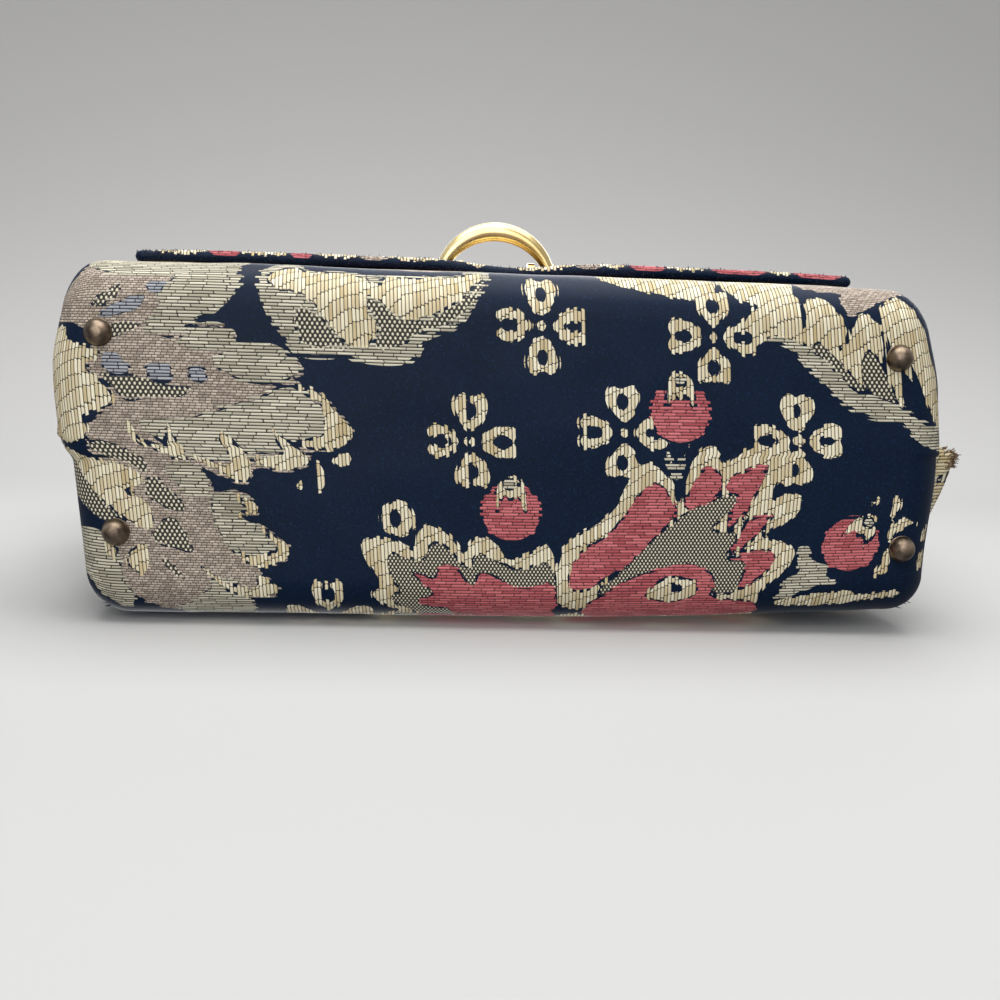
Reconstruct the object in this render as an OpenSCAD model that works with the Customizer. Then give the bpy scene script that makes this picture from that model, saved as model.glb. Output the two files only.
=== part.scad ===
// Tapestry handbag standing on four studs, front towards -Y.
// One cloth wrap makes the front, bottom and back, a creased gusset closes each end,
// and a stiffened flap drops over a fold-down bow clasp.

/* [Body] */
// Width across the front edges
front_w = 209; // [190:1:240]
// How much narrower the back is than the front
back_less = 6; // [0:0.5:10]
// Depth of the bottom, front to back
bottom_d = 81; // [79:1:110]
// How much the depth lessens from the bottom to the rim
rim_less = 3; // [2:0.5:16]
// Height of the covered body, underside to rim
body_h = 166; // [140:1:220]
// Rounding of all covered edges and corners
edge_r = 10; // [8:0.5:12]
// Thickness of the tapestry cloth
cloth_t = 1.2; // [0.8:0.1:1.6]
// Thickness of the stiffening boards in the walls
board_t = 2; // [1.5:0.1:2.5]
// Thickness of the lining cloth
lining_t = 0.8; // [0.5:0.1:1]
// Space between the boards and the lining, for clinched metal
lining_gap = 0.8; // [0.7:0.1:1.2]
// Drop of the lining's edge below the rim
lining_drop = 2; // [1:0.5:6]

/* [Gussets] */
// Thickness of the gusset cloth
gusset_t = 1; // [0.6:0.1:1.4]
// Width of the wrap's border on each end
border_w = 15; // [14:0.5:18]
// Height of the wrap's border above the underside
sill_h = 11.5; // [11:0.5:16]
// How far the crease stands out past the wrap, low down
crease_low = 3.5; // [1:0.5:6]
// How far the crease stands out past the wrap, at half height
crease_mid = 6; // [1:0.5:10]
// How far the crease stands out past the wrap, at the top
crease_top = 2.5; // [1:0.5:6]
// Height over which the crease comes out above the border
crease_rise = 6; // [4:0.5:12]
// Drop of the gusset's top edge below the rim
gusset_drop = 5; // [3:0.5:12]
// Length of gusset cloth tucked behind the border
gusset_tuck = 4; // [2:0.5:4]

/* [Inner pocket] */
// Width of the slip pocket
pocket_w = 124; // [80:1:140]
// Depth of the slip pocket, mouth to bottom
pocket_l = 78; // [50:1:90]
// Thickness of the pocket, front cloth and space
pocket_t = 2.4; // [2:0.1:3]
// Height of the pocket's bottom edge along the back
pocket_rise = 30; // [20:1:40]

/* [Flap] */
// How far each side of the flap stays inside the front's width
flap_in = 5.5; // [4.5:0.5:15]
// Thickness of the flap
flap_t = 3; // [2.6:0.1:4]
// Height of the flap's lower edge above the underside
flap_edge_h = 60; // [50:1:75]
// Air between the front wall and the flap
flap_gap = 2.2; // [1.2:0.1:3]
// Thickness of the flap's own lining
flap_lining_t = 0.6; // [0.4:0.1:0.8]
// Rounding of the flap's lower corners
flap_corner_r = 3; // [1:0.5:8]
// Length of the flap's tail down the back wall
tail_l = 14; // [8:1:30]
// Thickness of the flap's tail
tail_t = 1.3; // [1:0.1:1.6]

/* [Clasp] */
// Height of the clasp above the flap's lower edge
clasp_up = 22; // [16:1:35]
// Outer span of the bow at its feet
bow_span = 34.5; // [28:0.5:40]
// Rise of the bow's crown above its pivot
bow_rise = 13.5; // [10:0.1:15]
// Thickness of the bow at its crown
crown_t = 5.4; // [4:0.1:6]
// Thickness of the bow at its feet
leg_t = 3.2; // [2.6:0.1:3.6]
// Width of the bow across its flat
bow_w = 4.2; // [3:0.1:4.6]
// Diameter of the bow's pivot pins
pivot_d = 1.6; // [1.2:0.1:2]
// Height of the pivot above the slot plate
pivot_up = 0.1; // [0.1:0.1:3]
// Thickness of each ear
ear_t = 2; // [1.5:0.1:2.5]
// Width of each ear
ear_w = 4.4; // [3.6:0.1:4.6]
// Thickness of the clasp's base plate
base_t = 0.9; // [0.6:0.1:1.2]
// Height of the flap's slot
slot_h = 9.4; // [9:0.1:11]
// Thickness of the slot plate's flange
plate_t = 0.8; // [0.6:0.1:1]
// Width of the slot plate's flange round the slot
flange_w = 4.5; // [3:0.5:6]
// Thickness of the collar that lines the slot
collar_t = 0.8; // [0.6:0.1:1.2]
// Distance between the clasp's two rivets
clasp_rivet_span = 12; // [9:0.5:14]

/* [Feet] */
// How far the feet stay inside the back's width
foot_in_x = 8.5; // [7.5:0.5:20]
// How far the feet stay inside the bottom's depth
foot_in_y = 17.7; // [16:0.1:22]
// How far the back feet sit to the right of the front feet
foot_skew = 3.8; // [0:0.1:6]
// How far all the feet sit forwards of the middle
foot_shift = 2; // [0:0.1:4]
// Diameter of each stud
foot_d = 6.8; // [5:0.1:9]
// Height of each stud
foot_h = 3.5; // [3:0.1:5]
// Diameter of the flat worn on each stud
foot_flat_d = 2.4; // [1:0.1:3]
// Diameter of each stud's shank
shank_d = 2; // [1.4:0.1:2.4]

/* [Handle] */
// Distance between the handle's ends
handle_span = 92; // [80:1:110]
// Diameter of the rolled handle
handle_d = 11; // [9:0.5:14]
// Length of each neck between handle and loop
neck_l = 9; // [8:0.5:16]
// Length of each end sleeve on the roll
sleeve_l = 6; // [3:0.5:8]
// Thickness of the end sleeves
sleeve_t = 0.8; // [0.6:0.1:1.2]
// Wire diameter of the metal loops
wire_d = 3; // [2.4:0.1:3.4]
// Height of each loop between bar centres
loop_h = 12; // [11.5:0.5:18]
// Width of the tabs that hold the loops
tab_w = 14; // [11:0.5:18]
// Length of the tabs, front to back
tab_l = 28; // [25:1:34]
// Thickness of the tab leather
tab_t = 1.6; // [1.2:0.1:2]
// Diameter of the tab rivets
tab_rivet_d = 2; // [1.5:0.1:2.4]

/* [Hidden] */

// Smoothness of turned metal, hulled corners, swept sections and cloth folds
turned_fn = 48;
corner_fn = 32;
sweep_sides = 16;
sweep_rings = 24;
fold_steps = 8;

// Clearances: glued layers, running fits, holes round shanks, soft pieces
glue = 0.1;
fit = 0.15;
hole_gap = 0.1;
soft_gap = 0.3;
// Overrun of every cut past the face it opens
over = 5;
// Overlap of joined shapes inside one solid
bite = 0.2;

// Colours of the object
tapestry_colour = [0.09, 0.10, 0.16];
gusset_colour = [0.55, 0.50, 0.36];
board_colour = [0.62, 0.52, 0.40];
lining_colour = [0.16, 0.13, 0.11];
brass_colour = [0.85, 0.66, 0.28];
bronze_colour = [0.36, 0.27, 0.18];
handle_colour = [0.07, 0.07, 0.09];

// Widths and depths that follow the front and the bottom
back_w = front_w - back_less;
top_d = bottom_d - rim_less;
flap_w = front_w - 2 * flap_in;
foot_span_x = back_w - 2 * foot_in_x;
foot_span_y = bottom_d - 2 * foot_in_y;
// Heights of the underside and the rim
under_z = foot_h;
rim_z = under_z + body_h;
// Lean of the front and back walls
lean = atan((bottom_d - top_d) / 2 / body_h);
// Foot of the front wall's flat, where the bottom rounding ends
wall_y = bottom_d / 2 - edge_r + edge_r * cos(lean);
wall_z = under_z + edge_r + edge_r * sin(lean);
// Length of a wall's flat up to the rim
wall_l = (rim_z - wall_z) / cos(lean);
// Insets of the layers below the cloth's outer face
board_inset = cloth_t + glue;
lining_inset = board_inset + board_t + lining_gap;
pocket_inset = lining_inset + lining_t + glue;

// Top strip of the flap and its two fold lines
strip_z = rim_z + soft_gap;
strip_top_z = strip_z + flap_t;
fold_r = flap_t / 2;
fold_z = strip_z + fold_r;
fold_out = flap_gap + fold_r;
fold_s = (fold_z - wall_z - fold_out * sin(lean)) / cos(lean);
fold_y = -wall_y - fold_out * cos(lean) + fold_s * sin(lean);
tail_out = glue + tail_t - fold_r;
tail_s = (fold_z - wall_z - tail_out * sin(lean)) / cos(lean);
tail_y = wall_y + tail_out * cos(lean) - tail_s * sin(lean);
strip_front_y = fold_y + fold_r + soft_gap;
// Layers of the flap: cloth, board, lining
flap_skin_t = cloth_t;
flap_board_t = flap_t - flap_skin_t - flap_lining_t - 2 * glue;
// Length of the front drop below its fold line, and the plain band along the fold
flap_edge_s = (under_z + flap_edge_h - wall_z - fold_out * sin(lean)) / cos(lean);
drop_l = fold_s - flap_edge_s;
fold_band = 2 * flap_t;

// Clasp: place along the wall, slot and bow
clasp_s = flap_edge_s + clasp_up;
slot_gap = 2;
slot_r = 1.5;
slot_l = bow_span + 2 * slot_gap;
pivot_out = flap_gap + flap_t + plate_t + pivot_up;
bow_half = (bow_span - leg_t) / 2;
bow_h = bow_rise - crown_t / 2;
bow_r = (bow_h * bow_h + bow_half * bow_half) / (2 * bow_h);
bow_sweep = 2 * atan(bow_h / bow_half);
ear_out_x = sqrt(pow(bow_r - crown_t / 2, 2) - pow(bow_r - bow_h + ear_w / 2, 2)) - fit;
ear_in_x = ear_out_x - ear_t;
base_l = 2 * ear_out_x;
base_w = slot_h - slot_gap;
back_plate_t = 0.5;
clasp_rivet_d = 2;
rivet_head_h = 0.8;
rivet_head_share = 1.7;

// Feet and washers
foot_flange_t = 0.5;
washer_t = 0.5;
washer_d = 2 * shank_d;
shank_top_z = under_z + board_inset + board_t + hole_gap + washer_t;

// Handle: tab eye, loop and rolled grip
tab_eye_r = wire_d / 2 + soft_gap + tab_t;
eye_z = strip_top_z + tab_eye_r;
bar_z = eye_z + loop_h;
grip_z = bar_z + neck_l;
grip_eye_t = 2.2;
grip_eye_r = wire_d / 2 + soft_gap + grip_eye_t;
loop_gap = 1;
loop_w = tab_w + 2 * loop_gap + wire_d;
loop_r = wire_d;
tab_edge = 4;
tab_rivet_y = tab_l / 2 - tab_edge;
strip_mid_y = (strip_front_y + tail_y) / 2;

// Places of the four feet: side, front or back
function foot_at(side, end) =
    [side * foot_span_x / 2 + end * foot_skew / 2, end * foot_span_y / 2 - foot_shift];

// Face of the front wall at a height, and half the width of the body at a depth
function face_y(z) = -wall_y + (z - wall_z) * tan(lean);
function half_w(share) = (front_w + (back_w - front_w) * share) / 2;

// Frame on the front wall: x across, y up the wall, z out of it
module on_front(s) {
    translate([0, -wall_y + s * sin(lean), wall_z + s * cos(lean)])
        rotate([90 - lean, 0, 0])
            children();
}

// The same frame on the back wall
module on_back(s) {
    rotate([0, 0, 180])
        on_front(s)
            children();
}

// Frame of the flap's front drop: origin on its fold line
module on_drop() {
    translate([0, fold_y, fold_z])
        rotate([90 - lean, 0, 0])
            children();
}

// Rounded body offset inwards from the cloth's outer face
module rounded_body(inset) {
    hull()
        for (side = [-1, 1], level = [0, 1]) {
            depth = level == 0 ? bottom_d : top_d;
            z = under_z + edge_r + level * body_h;
            translate([side * (front_w / 2 - edge_r), edge_r - depth / 2, z])
                sphere(r = edge_r - inset, $fn = corner_fn);
            translate([side * (back_w / 2 - edge_r), depth / 2 - edge_r, z])
                sphere(r = edge_r - inset, $fn = corner_fn);
        }
}

// Everything above a height
module above(z) {
    translate([-front_w, -bottom_d, z])
        cube([2 * front_w, 2 * bottom_d, body_h]);
}

// Rectangle with round corners, centred
module round_rect(w, h, r) {
    square([w - 2 * r, h], center = true);
    square([w, h - 2 * r], center = true);
    for (sx = [-1, 1], sy = [-1, 1])
        translate([sx * (w / 2 - r), sy * (h / 2 - r)])
            circle(r = r, $fn = turned_fn);
}

// Slot outline and outlines parallel to it, centred
module slot_shape(l, h) {
    round_rect(l, h, slot_r + (h - slot_h) / 2);
}

// Sheet solid between two grids of points of equal size
module sheet(outer, inner) {
    rows = len(outer);
    cols = len(outer[0]);
    points = concat([for (row = outer) for (p = row) p], [for (row = inner) for (p = row) p]);
    back = rows * cols;
    skin = [for (i = [0:rows - 2]) for (j = [0:cols - 2])
        [i * cols + j, i * cols + j + 1, (i + 1) * cols + j + 1, (i + 1) * cols + j]];
    split = [for (q = skin) each [[q[0], q[1], q[2]], [q[0], q[2], q[3]]]];
    lining = [for (t = split) [back + t[2], back + t[1], back + t[0]]];
    loop = concat([for (j = [0:cols - 1]) j], [for (i = [1:rows - 1]) i * cols + cols - 1],
        [for (j = [cols - 2:-1:0]) (rows - 1) * cols + j], [for (i = [rows - 2:-1:1]) i * cols]);
    last = len(loop);
    rim = [for (k = [0:last - 1])
        [loop[k], back + loop[k], back + loop[(k + 1) % last], loop[(k + 1) % last]]];
    polyhedron(points, concat(split, lining, rim));
}

// Holes for the studs' shanks
module foot_holes() {
    for (side = [-1, 1], end = [-1, 1])
        translate([foot_at(side, end)[0], foot_at(side, end)[1], 0])
            cylinder(d = shank_d + 2 * hole_gap, h = shank_top_z + over, $fn = turned_fn);
}

// Holes for the clasp's rivets, through the front wall
module clasp_rivet_holes() {
    on_front(clasp_s)
        for (sx = [-1, 1])
            translate([sx * clasp_rivet_span / 2, 0, -lining_inset])
                cylinder(d = clasp_rivet_d + 2 * hole_gap, h = lining_inset + over, $fn = turned_fn);
}

// Holes for the tab rivets, through the flap's top strip
module tab_rivet_holes() {
    for (side = [-1, 1], end = [-1, 1])
        translate([side * handle_span / 2, strip_mid_y + end * tab_rivet_y, strip_z - over])
            cylinder(d = tab_rivet_d + 2 * hole_gap, h = flap_t + tab_t + 2 * over, $fn = turned_fn);
}

// Window in each end of the wrap, which the gusset fills
module gusset_windows() {
    sill_z = under_z + sill_h;
    low = -face_y(sill_z) - border_w;
    high = -face_y(rim_z + over) - border_w;
    translate([-front_w, 0, 0])
        rotate([90, 0, 90])
            linear_extrude(height = 2 * front_w)
                polygon([[-low, sill_z], [low, sill_z], [high, rim_z + over], [-high, rim_z + over]]);
}

// Tapestry: front, bottom and back in one sheet, turned in at the ends
module tapestry_wrap() {
    color(tapestry_colour)
        difference() {
            rounded_body(0);
            rounded_body(cloth_t);
            above(rim_z);
            gusset_windows();
            foot_holes();
            clasp_rivet_holes();
        }
}

// Rows of a gusset: height and how far the crease stands out of the wrap's end
function gusset_rows() =
    let (sill_z = under_z + sill_h, top_z = rim_z - gusset_drop, tucked = -cloth_t - soft_gap)
    let (start_z = sill_z + crease_rise, steps = 6)
    concat([[sill_z - gusset_tuck, tucked], [sill_z, tucked]],
        [for (i = [0:steps])
            let (share = i / steps, low = crease_low * (1 - share) + crease_top * share)
            let (swell = (crease_mid - (crease_low + crease_top) / 2) * sin(180 * share))
            [start_z + (top_z - start_z) * share, low + swell]]);

// Points of a gusset across one row, from the front wall to the back wall
function gusset_row(side, row, inset) =
    let (z = row[0], face = -face_y(z), edge = -cloth_t - soft_gap)
    let (mouth = face - border_w, tuck = mouth + gusset_tuck, flat_end = face - edge_r)
    [for (c = [[-tuck, edge], [-mouth, edge], [0, row[1]], [mouth, edge], [tuck, edge]])
        let (share = (c[0] / flat_end + 1) / 2)
        [side * (half_w(share) + c[1] - inset), c[0], z]];

module gusset(side) {
    outer = [for (row = gusset_rows()) gusset_row(side, row, 0)];
    inner = [for (row = gusset_rows()) gusset_row(side, row, gusset_t)];
    color(gusset_colour)
        if (side > 0)
            sheet(inner, outer);
        else
            sheet(outer, inner);
}

module left_gusset() {
    gusset(-1);
}

module right_gusset() {
    gusset(1);
}

// Stiffening board behind a wall's flat, in the wall's own frame
module wall_board(w) {
    l = wall_l - 2 * glue;
    translate([0, l / 2 + glue, -board_inset - board_t])
        linear_extrude(height = board_t)
            round_rect(w - 2 * edge_r, l, board_t);
}

module front_board() {
    color(board_colour)
        difference() {
            on_front(0)
                wall_board(front_w);
            clasp_rivet_holes();
        }
}

module back_board() {
    color(board_colour)
        on_back(0)
            wall_board(back_w);
}

module bottom_board() {
    z = under_z + board_inset;
    color(board_colour)
        difference() {
            intersection() {
                rounded_body(board_inset);
                translate([-front_w / 2, edge_r - bottom_d / 2, z - over])
                    cube([front_w, bottom_d - 2 * edge_r, board_t + over]);
            }
            foot_holes();
        }
}

// Lining: an open inner bag
module lining() {
    color(lining_colour)
        difference() {
            rounded_body(lining_inset);
            rounded_body(lining_inset + lining_t);
            above(rim_z - lining_drop);
        }
}

// Slip pocket on the lining's back wall, open at its top
module inner_pocket() {
    seam = 2 * lining_t;
    color(lining_colour)
        on_back(pocket_rise)
            translate([0, pocket_l / 2, -pocket_inset - pocket_t])
                difference() {
                    linear_extrude(height = pocket_t)
                        round_rect(pocket_w, pocket_l, edge_r / 2);
                    translate([0, seam, lining_t])
                        linear_extrude(height = pocket_t)
                            round_rect(pocket_w - 2 * seam, pocket_l, edge_r / 2 - seam);
                }
}

// Outline of the flap's top strip, seen from above
module strip_shape(inset) {
    front = strip_front_y + inset;
    back = tail_y - inset;
    translate([-flap_w / 2 + inset, front])
        square([flap_w - 2 * inset, back - front]);
}

// Section of the top strip, across the bag: flat strip, back fold and tail down the wall
function strip_section() =
    let (out = [cos(lean), sin(lean)], down = [sin(lean), -cos(lean)], fold = [tail_y, fold_z])
    let (outer = fold + fold_r * out, inner = outer - tail_t * out)
    let (seat = (inner[1] - strip_z) / cos(lean), step = (lean - 90) / fold_steps)
    concat([[strip_front_y, strip_z], [strip_front_y, strip_top_z]],
        [for (i = [0:fold_steps]) fold + fold_r * [cos(90 + step * i), sin(90 + step * i)]],
        [outer + tail_l * down, inner + tail_l * down, inner + seat * down]);

// Top strip of the flap, with its tail sewn down the back wall
module flap_top_cover() {
    color(tapestry_colour)
        difference() {
            translate([-flap_w / 2, 0, 0])
                rotate([90, 0, 90])
                    linear_extrude(height = flap_w)
                        polygon(strip_section());
            translate([0, 0, strip_z - over])
                linear_extrude(height = flap_t - flap_skin_t + over)
                    strip_shape(flap_skin_t);
            tab_rivet_holes();
        }
}

module flap_top_board() {
    color(board_colour)
        difference() {
            translate([0, 0, strip_top_z - flap_skin_t - glue - flap_board_t])
                linear_extrude(height = flap_board_t)
                    strip_shape(flap_skin_t + glue);
            tab_rivet_holes();
        }
}

module flap_top_lining() {
    color(lining_colour)
        difference() {
            translate([0, 0, strip_z])
                linear_extrude(height = flap_lining_t)
                    strip_shape(flap_skin_t + glue);
            tab_rivet_holes();
        }
}

// Outline of the flap's front drop, in its own frame
module drop_shape(inset, top) {
    w = flap_w - 2 * inset;
    l = drop_l - inset - top;
    translate([0, -top - l / 2])
        round_rect(w, l, max(flap_corner_r - inset, bite));
    translate([-w / 2, -top - l / 2])
        square([w, l / 2]);
}

// Slot through the flap, in the drop's frame
module drop_slot(l, h) {
    translate([0, clasp_up - drop_l, -flap_t - over])
        linear_extrude(height = 2 * flap_t + 2 * over)
            slot_shape(l, h);
}

// Front drop of the flap: tapestry turned over the board's edges
module flap_front_cover() {
    hole = 2 * (collar_t + glue);
    color(tapestry_colour)
        on_drop()
            difference() {
                union() {
                    translate([0, 0, -flap_t / 2])
                        linear_extrude(height = flap_t)
                            drop_shape(0, 0);
                    translate([-flap_w / 2, 0, 0])
                        rotate([0, 90, 0])
                            cylinder(r = fold_r, h = flap_w, $fn = turned_fn);
                }
                translate([0, 0, -flap_t / 2 - over])
                    linear_extrude(height = flap_t - flap_skin_t + over)
                        drop_shape(flap_skin_t, fold_band);
                drop_slot(slot_l + hole, slot_h + hole);
            }
}

module flap_front_board() {
    hole = 2 * (collar_t + glue);
    color(board_colour)
        on_drop()
            difference() {
                translate([0, 0, flap_t / 2 - flap_skin_t - glue - flap_board_t])
                    linear_extrude(height = flap_board_t)
                        drop_shape(flap_skin_t + glue, fold_band + glue);
                drop_slot(slot_l + hole, slot_h + hole);
            }
}

module flap_front_lining() {
    hole = 2 * (collar_t + glue);
    color(lining_colour)
        on_drop()
            difference() {
                translate([0, 0, -flap_t / 2])
                    linear_extrude(height = flap_lining_t)
                        drop_shape(flap_skin_t + glue, fold_band + glue);
                drop_slot(slot_l + hole, slot_h + hole);
            }
}

// Brass plate with a collar that lines the flap's slot
module slot_plate() {
    color(brass_colour)
        on_drop()
            translate([0, clasp_up - drop_l, 0])
                difference() {
                    union() {
                        translate([0, 0, flap_t / 2])
                            linear_extrude(height = plate_t)
                                slot_shape(slot_l + 2 * flange_w, slot_h + 2 * flange_w);
                        translate([0, 0, -flap_t / 2 - back_plate_t])
                            linear_extrude(height = flap_t + back_plate_t + bite)
                                slot_shape(slot_l + 2 * collar_t, slot_h + 2 * collar_t);
                    }
                    translate([0, 0, -flap_t - over])
                        linear_extrude(height = 2 * flap_t + 2 * over)
                            slot_shape(slot_l, slot_h);
                }
}

// Plate clinched round the collar inside the flap
module slot_back_plate() {
    hole = 2 * (collar_t + glue);
    color(brass_colour)
        on_drop()
            translate([0, clasp_up - drop_l, -flap_t / 2 - back_plate_t])
                linear_extrude(height = back_plate_t - glue)
                    difference() {
                        slot_shape(slot_l + 2 * flange_w, slot_h + 2 * flange_w);
                        slot_shape(slot_l + hole, slot_h + hole);
                    }
}

// Base plate on the front wall, with two ears that reach through the slot
module clasp_base() {
    ear_l = pivot_out;
    color(brass_colour)
        on_front(clasp_s)
            difference() {
                union() {
                    linear_extrude(height = base_t)
                        slot_shape(base_l, base_w);
                    for (side = [-1, 1])
                        translate([side * (ear_in_x + ear_out_x) / 2 - ear_t / 2, 0, 0])
                            rotate([0, 90, 0])
                                linear_extrude(height = ear_t) {
                                    translate([-ear_l, -ear_w / 2])
                                        square([ear_l, ear_w]);
                                    translate([-ear_l, 0])
                                        circle(d = ear_w, $fn = turned_fn);
                                }
                }
                translate([-bow_span, 0, pivot_out])
                    rotate([0, 90, 0])
                        cylinder(d = pivot_d + 2 * fit, h = 2 * bow_span, $fn = turned_fn);
                for (sx = [-1, 1])
                    translate([sx * clasp_rivet_span / 2, 0, -over])
                        cylinder(d = clasp_rivet_d + 2 * hole_gap, h = base_t + 2 * over, $fn = turned_fn);
            }
}

// Rivet along z: round head above z 0, shank down to a length, flat clinch
module rivet(d, l) {
    head_r = d * rivet_head_share / 2;
    rotate_extrude($fn = turned_fn)
        polygon(concat([[0, -l], [d / 2, -l], [d / 2, 0]],
            [for (a = [0:15:90]) [head_r * cos(a), rivet_head_h * sin(a)]]));
}

module clasp_rivets() {
    color(brass_colour)
        on_front(clasp_s)
            for (sx = [-1, 1])
                translate([sx * clasp_rivet_span / 2, 0, base_t])
                    rivet(clasp_rivet_d, base_t + board_inset + board_t + glue + back_plate_t);
}

// Plate behind the front board that the rivets clinch on
module clasp_back_plate() {
    color(brass_colour)
        on_front(clasp_s)
            translate([0, 0, -board_inset - board_t - glue - back_plate_t])
                linear_extrude(height = back_plate_t)
                    difference() {
                        slot_shape(base_l, base_w);
                        for (sx = [-1, 1])
                            translate([sx * clasp_rivet_span / 2, 0])
                                circle(d = clasp_rivet_d + 2 * hole_gap, $fn = turned_fn);
                    }
}

// Bow: a crescent of round metal on two pivot pins, standing out of the slot
module clasp_bow() {
    rings = [for (i = [0:sweep_rings])
        let (angle = bow_sweep * (2 * i / sweep_rings - 1), share = cos(90 * angle / bow_sweep))
        let (thick = leg_t + (crown_t - leg_t) * share)
        [for (k = [0:sweep_sides - 1])
            let (turn = 360 * k / sweep_sides, r = bow_r + thick / 2 * cos(turn))
            [r * sin(angle), bow_w / 2 * sin(turn), r * cos(angle) + bow_h - bow_r]]];
    color(brass_colour)
        on_front(clasp_s)
            translate([0, 0, pivot_out]) {
                tube(rings);
                for (side = [-1, 1])
                    translate([side * bow_half, 0, 0])
                        rotate([0, -90 * side, 0]) {
                            translate([0, 0, -leg_t / 2])
                                cylinder(d = bow_w, h = leg_t, $fn = turned_fn);
                            cylinder(d = pivot_d, h = bow_half - ear_in_x, $fn = turned_fn);
                        }
            }
}

// Closed tube through rings of points
module tube(rings) {
    n = len(rings[0]);
    m = len(rings);
    walls = [for (i = [0:m - 2]) for (k = [0:n - 1])
        each [[i * n + k, i * n + (k + 1) % n, (i + 1) * n + k],
            [i * n + (k + 1) % n, (i + 1) * n + (k + 1) % n, (i + 1) * n + k]]];
    first = [for (k = [n - 1:-1:0]) k];
    last = [for (k = [0:n - 1]) (m - 1) * n + k];
    polyhedron([for (ring = rings) for (p = ring) p], concat(walls, [first, last]));
}

// Domed stud with a flat worn on it, a thin flange and a shank
module foot(side, end) {
    place = foot_at(side, end);
    start = acos(foot_flat_d / foot_d);
    dome = under_z - foot_flange_t;
    squash = dome / sin(start);
    shoulder = foot_d / 2 + foot_flange_t / 2;
    color(bronze_colour)
        translate([place[0], place[1], 0])
            rotate_extrude($fn = turned_fn)
                polygon(concat([[0, 0]],
                    [for (i = [0:fold_steps])
                        let (a = start * (1 - i / fold_steps))
                        [foot_d / 2 * cos(a), dome - squash * sin(a)]],
                    [[shoulder, dome], [shoulder, under_z], [shank_d / 2, under_z],
                        [shank_d / 2, shank_top_z], [0, shank_top_z]]));
}

module foot_front_left() {
    foot(-1, -1);
}

module foot_front_right() {
    foot(1, -1);
}

module foot_back_left() {
    foot(-1, 1);
}

module foot_back_right() {
    foot(1, 1);
}

// Washers that hold the studs, above the bottom board
module foot_washers() {
    color(bronze_colour)
        for (side = [-1, 1], end = [-1, 1])
            translate([foot_at(side, end)[0], foot_at(side, end)[1], shank_top_z - washer_t])
                difference() {
                    cylinder(d = washer_d, h = washer_t, $fn = turned_fn);
                    translate([0, 0, -over])
                        cylinder(d = shank_d + 2 * hole_gap, h = washer_t + 2 * over, $fn = turned_fn);
                }
}

// Rolled handle: half ring with a sleeve and an eye at each end
module handle() {
    color(handle_colour)
        translate([0, strip_mid_y, 0])
            difference() {
                union() {
                    translate([0, 0, grip_z])
                        rotate([90, 0, 0])
                            rotate_extrude(angle = 180, $fn = 2 * turned_fn)
                                translate([handle_span / 2, 0])
                                    circle(d = handle_d, $fn = turned_fn);
                    for (side = [-1, 1])
                        translate([side * handle_span / 2, 0, bar_z]) {
                            cylinder(d = handle_d + 2 * sleeve_t, h = neck_l + sleeve_l, $fn = turned_fn);
                            translate([-tab_w / 2, 0, 0])
                                rotate([0, 90, 0])
                                    cylinder(r = grip_eye_r, h = tab_w, $fn = turned_fn);
                        }
                }
                translate([-handle_span, 0, bar_z])
                    rotate([0, 90, 0])
                        cylinder(d = wire_d + 2 * soft_gap, h = 2 * handle_span, $fn = turned_fn);
            }
}

// Rectangular wire loop with round corners
module handle_loop(side) {
    half = loop_w / 2 - loop_r;
    color(brass_colour)
        translate([side * handle_span / 2, strip_mid_y, eye_z + loop_h / 2])
            rotate([90, 0, 0]) {
                for (end = [-1, 1]) {
                    translate([-half, end * loop_h / 2, 0])
                        rotate([0, 90, 0])
                            cylinder(d = wire_d, h = 2 * half, $fn = turned_fn);
                    translate([end * loop_w / 2, loop_r - loop_h / 2, 0])
                        rotate([-90, 0, 0])
                            cylinder(d = wire_d, h = loop_h - 2 * loop_r, $fn = turned_fn);
                }
                for (turn = [0:3])
                    translate([(turn == 0 || turn == 3 ? 1 : -1) * half,
                            (turn < 2 ? 1 : -1) * (loop_h / 2 - loop_r), 0])
                        rotate([0, 0, 90 * turn])
                            rotate_extrude(angle = 90, $fn = turned_fn)
                                translate([loop_r, 0])
                                    circle(d = wire_d, $fn = turned_fn);
            }
}

module handle_loop_left() {
    handle_loop(-1);
}

module handle_loop_right() {
    handle_loop(1);
}

// Leather tab folded round a loop's lower bar and riveted to the top strip
module handle_tab(side) {
    color(handle_colour)
        difference() {
            translate([side * handle_span / 2, strip_mid_y, strip_top_z]) {
                translate([-tab_w / 2, -tab_l / 2, 0])
                    cube([tab_w, tab_l, tab_t]);
                translate([-tab_w / 2, 0, tab_eye_r])
                    rotate([0, 90, 0])
                        cylinder(r = tab_eye_r, h = tab_w, $fn = turned_fn);
            }
            translate([-front_w, strip_mid_y, eye_z])
                rotate([0, 90, 0])
                    cylinder(d = wire_d + 2 * soft_gap, h = 2 * front_w, $fn = turned_fn);
            tab_rivet_holes();
        }
}

module handle_tab_left() {
    handle_tab(-1);
}

module handle_tab_right() {
    handle_tab(1);
}

// Rivets that hold the tabs, clinched below the strip
module tab_rivets() {
    color(bronze_colour)
        for (side = [-1, 1], end = [-1, 1])
            translate([side * handle_span / 2, strip_mid_y + end * tab_rivet_y, strip_top_z + tab_t])
                rivet(tab_rivet_d, tab_t + flap_t);
}

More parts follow.
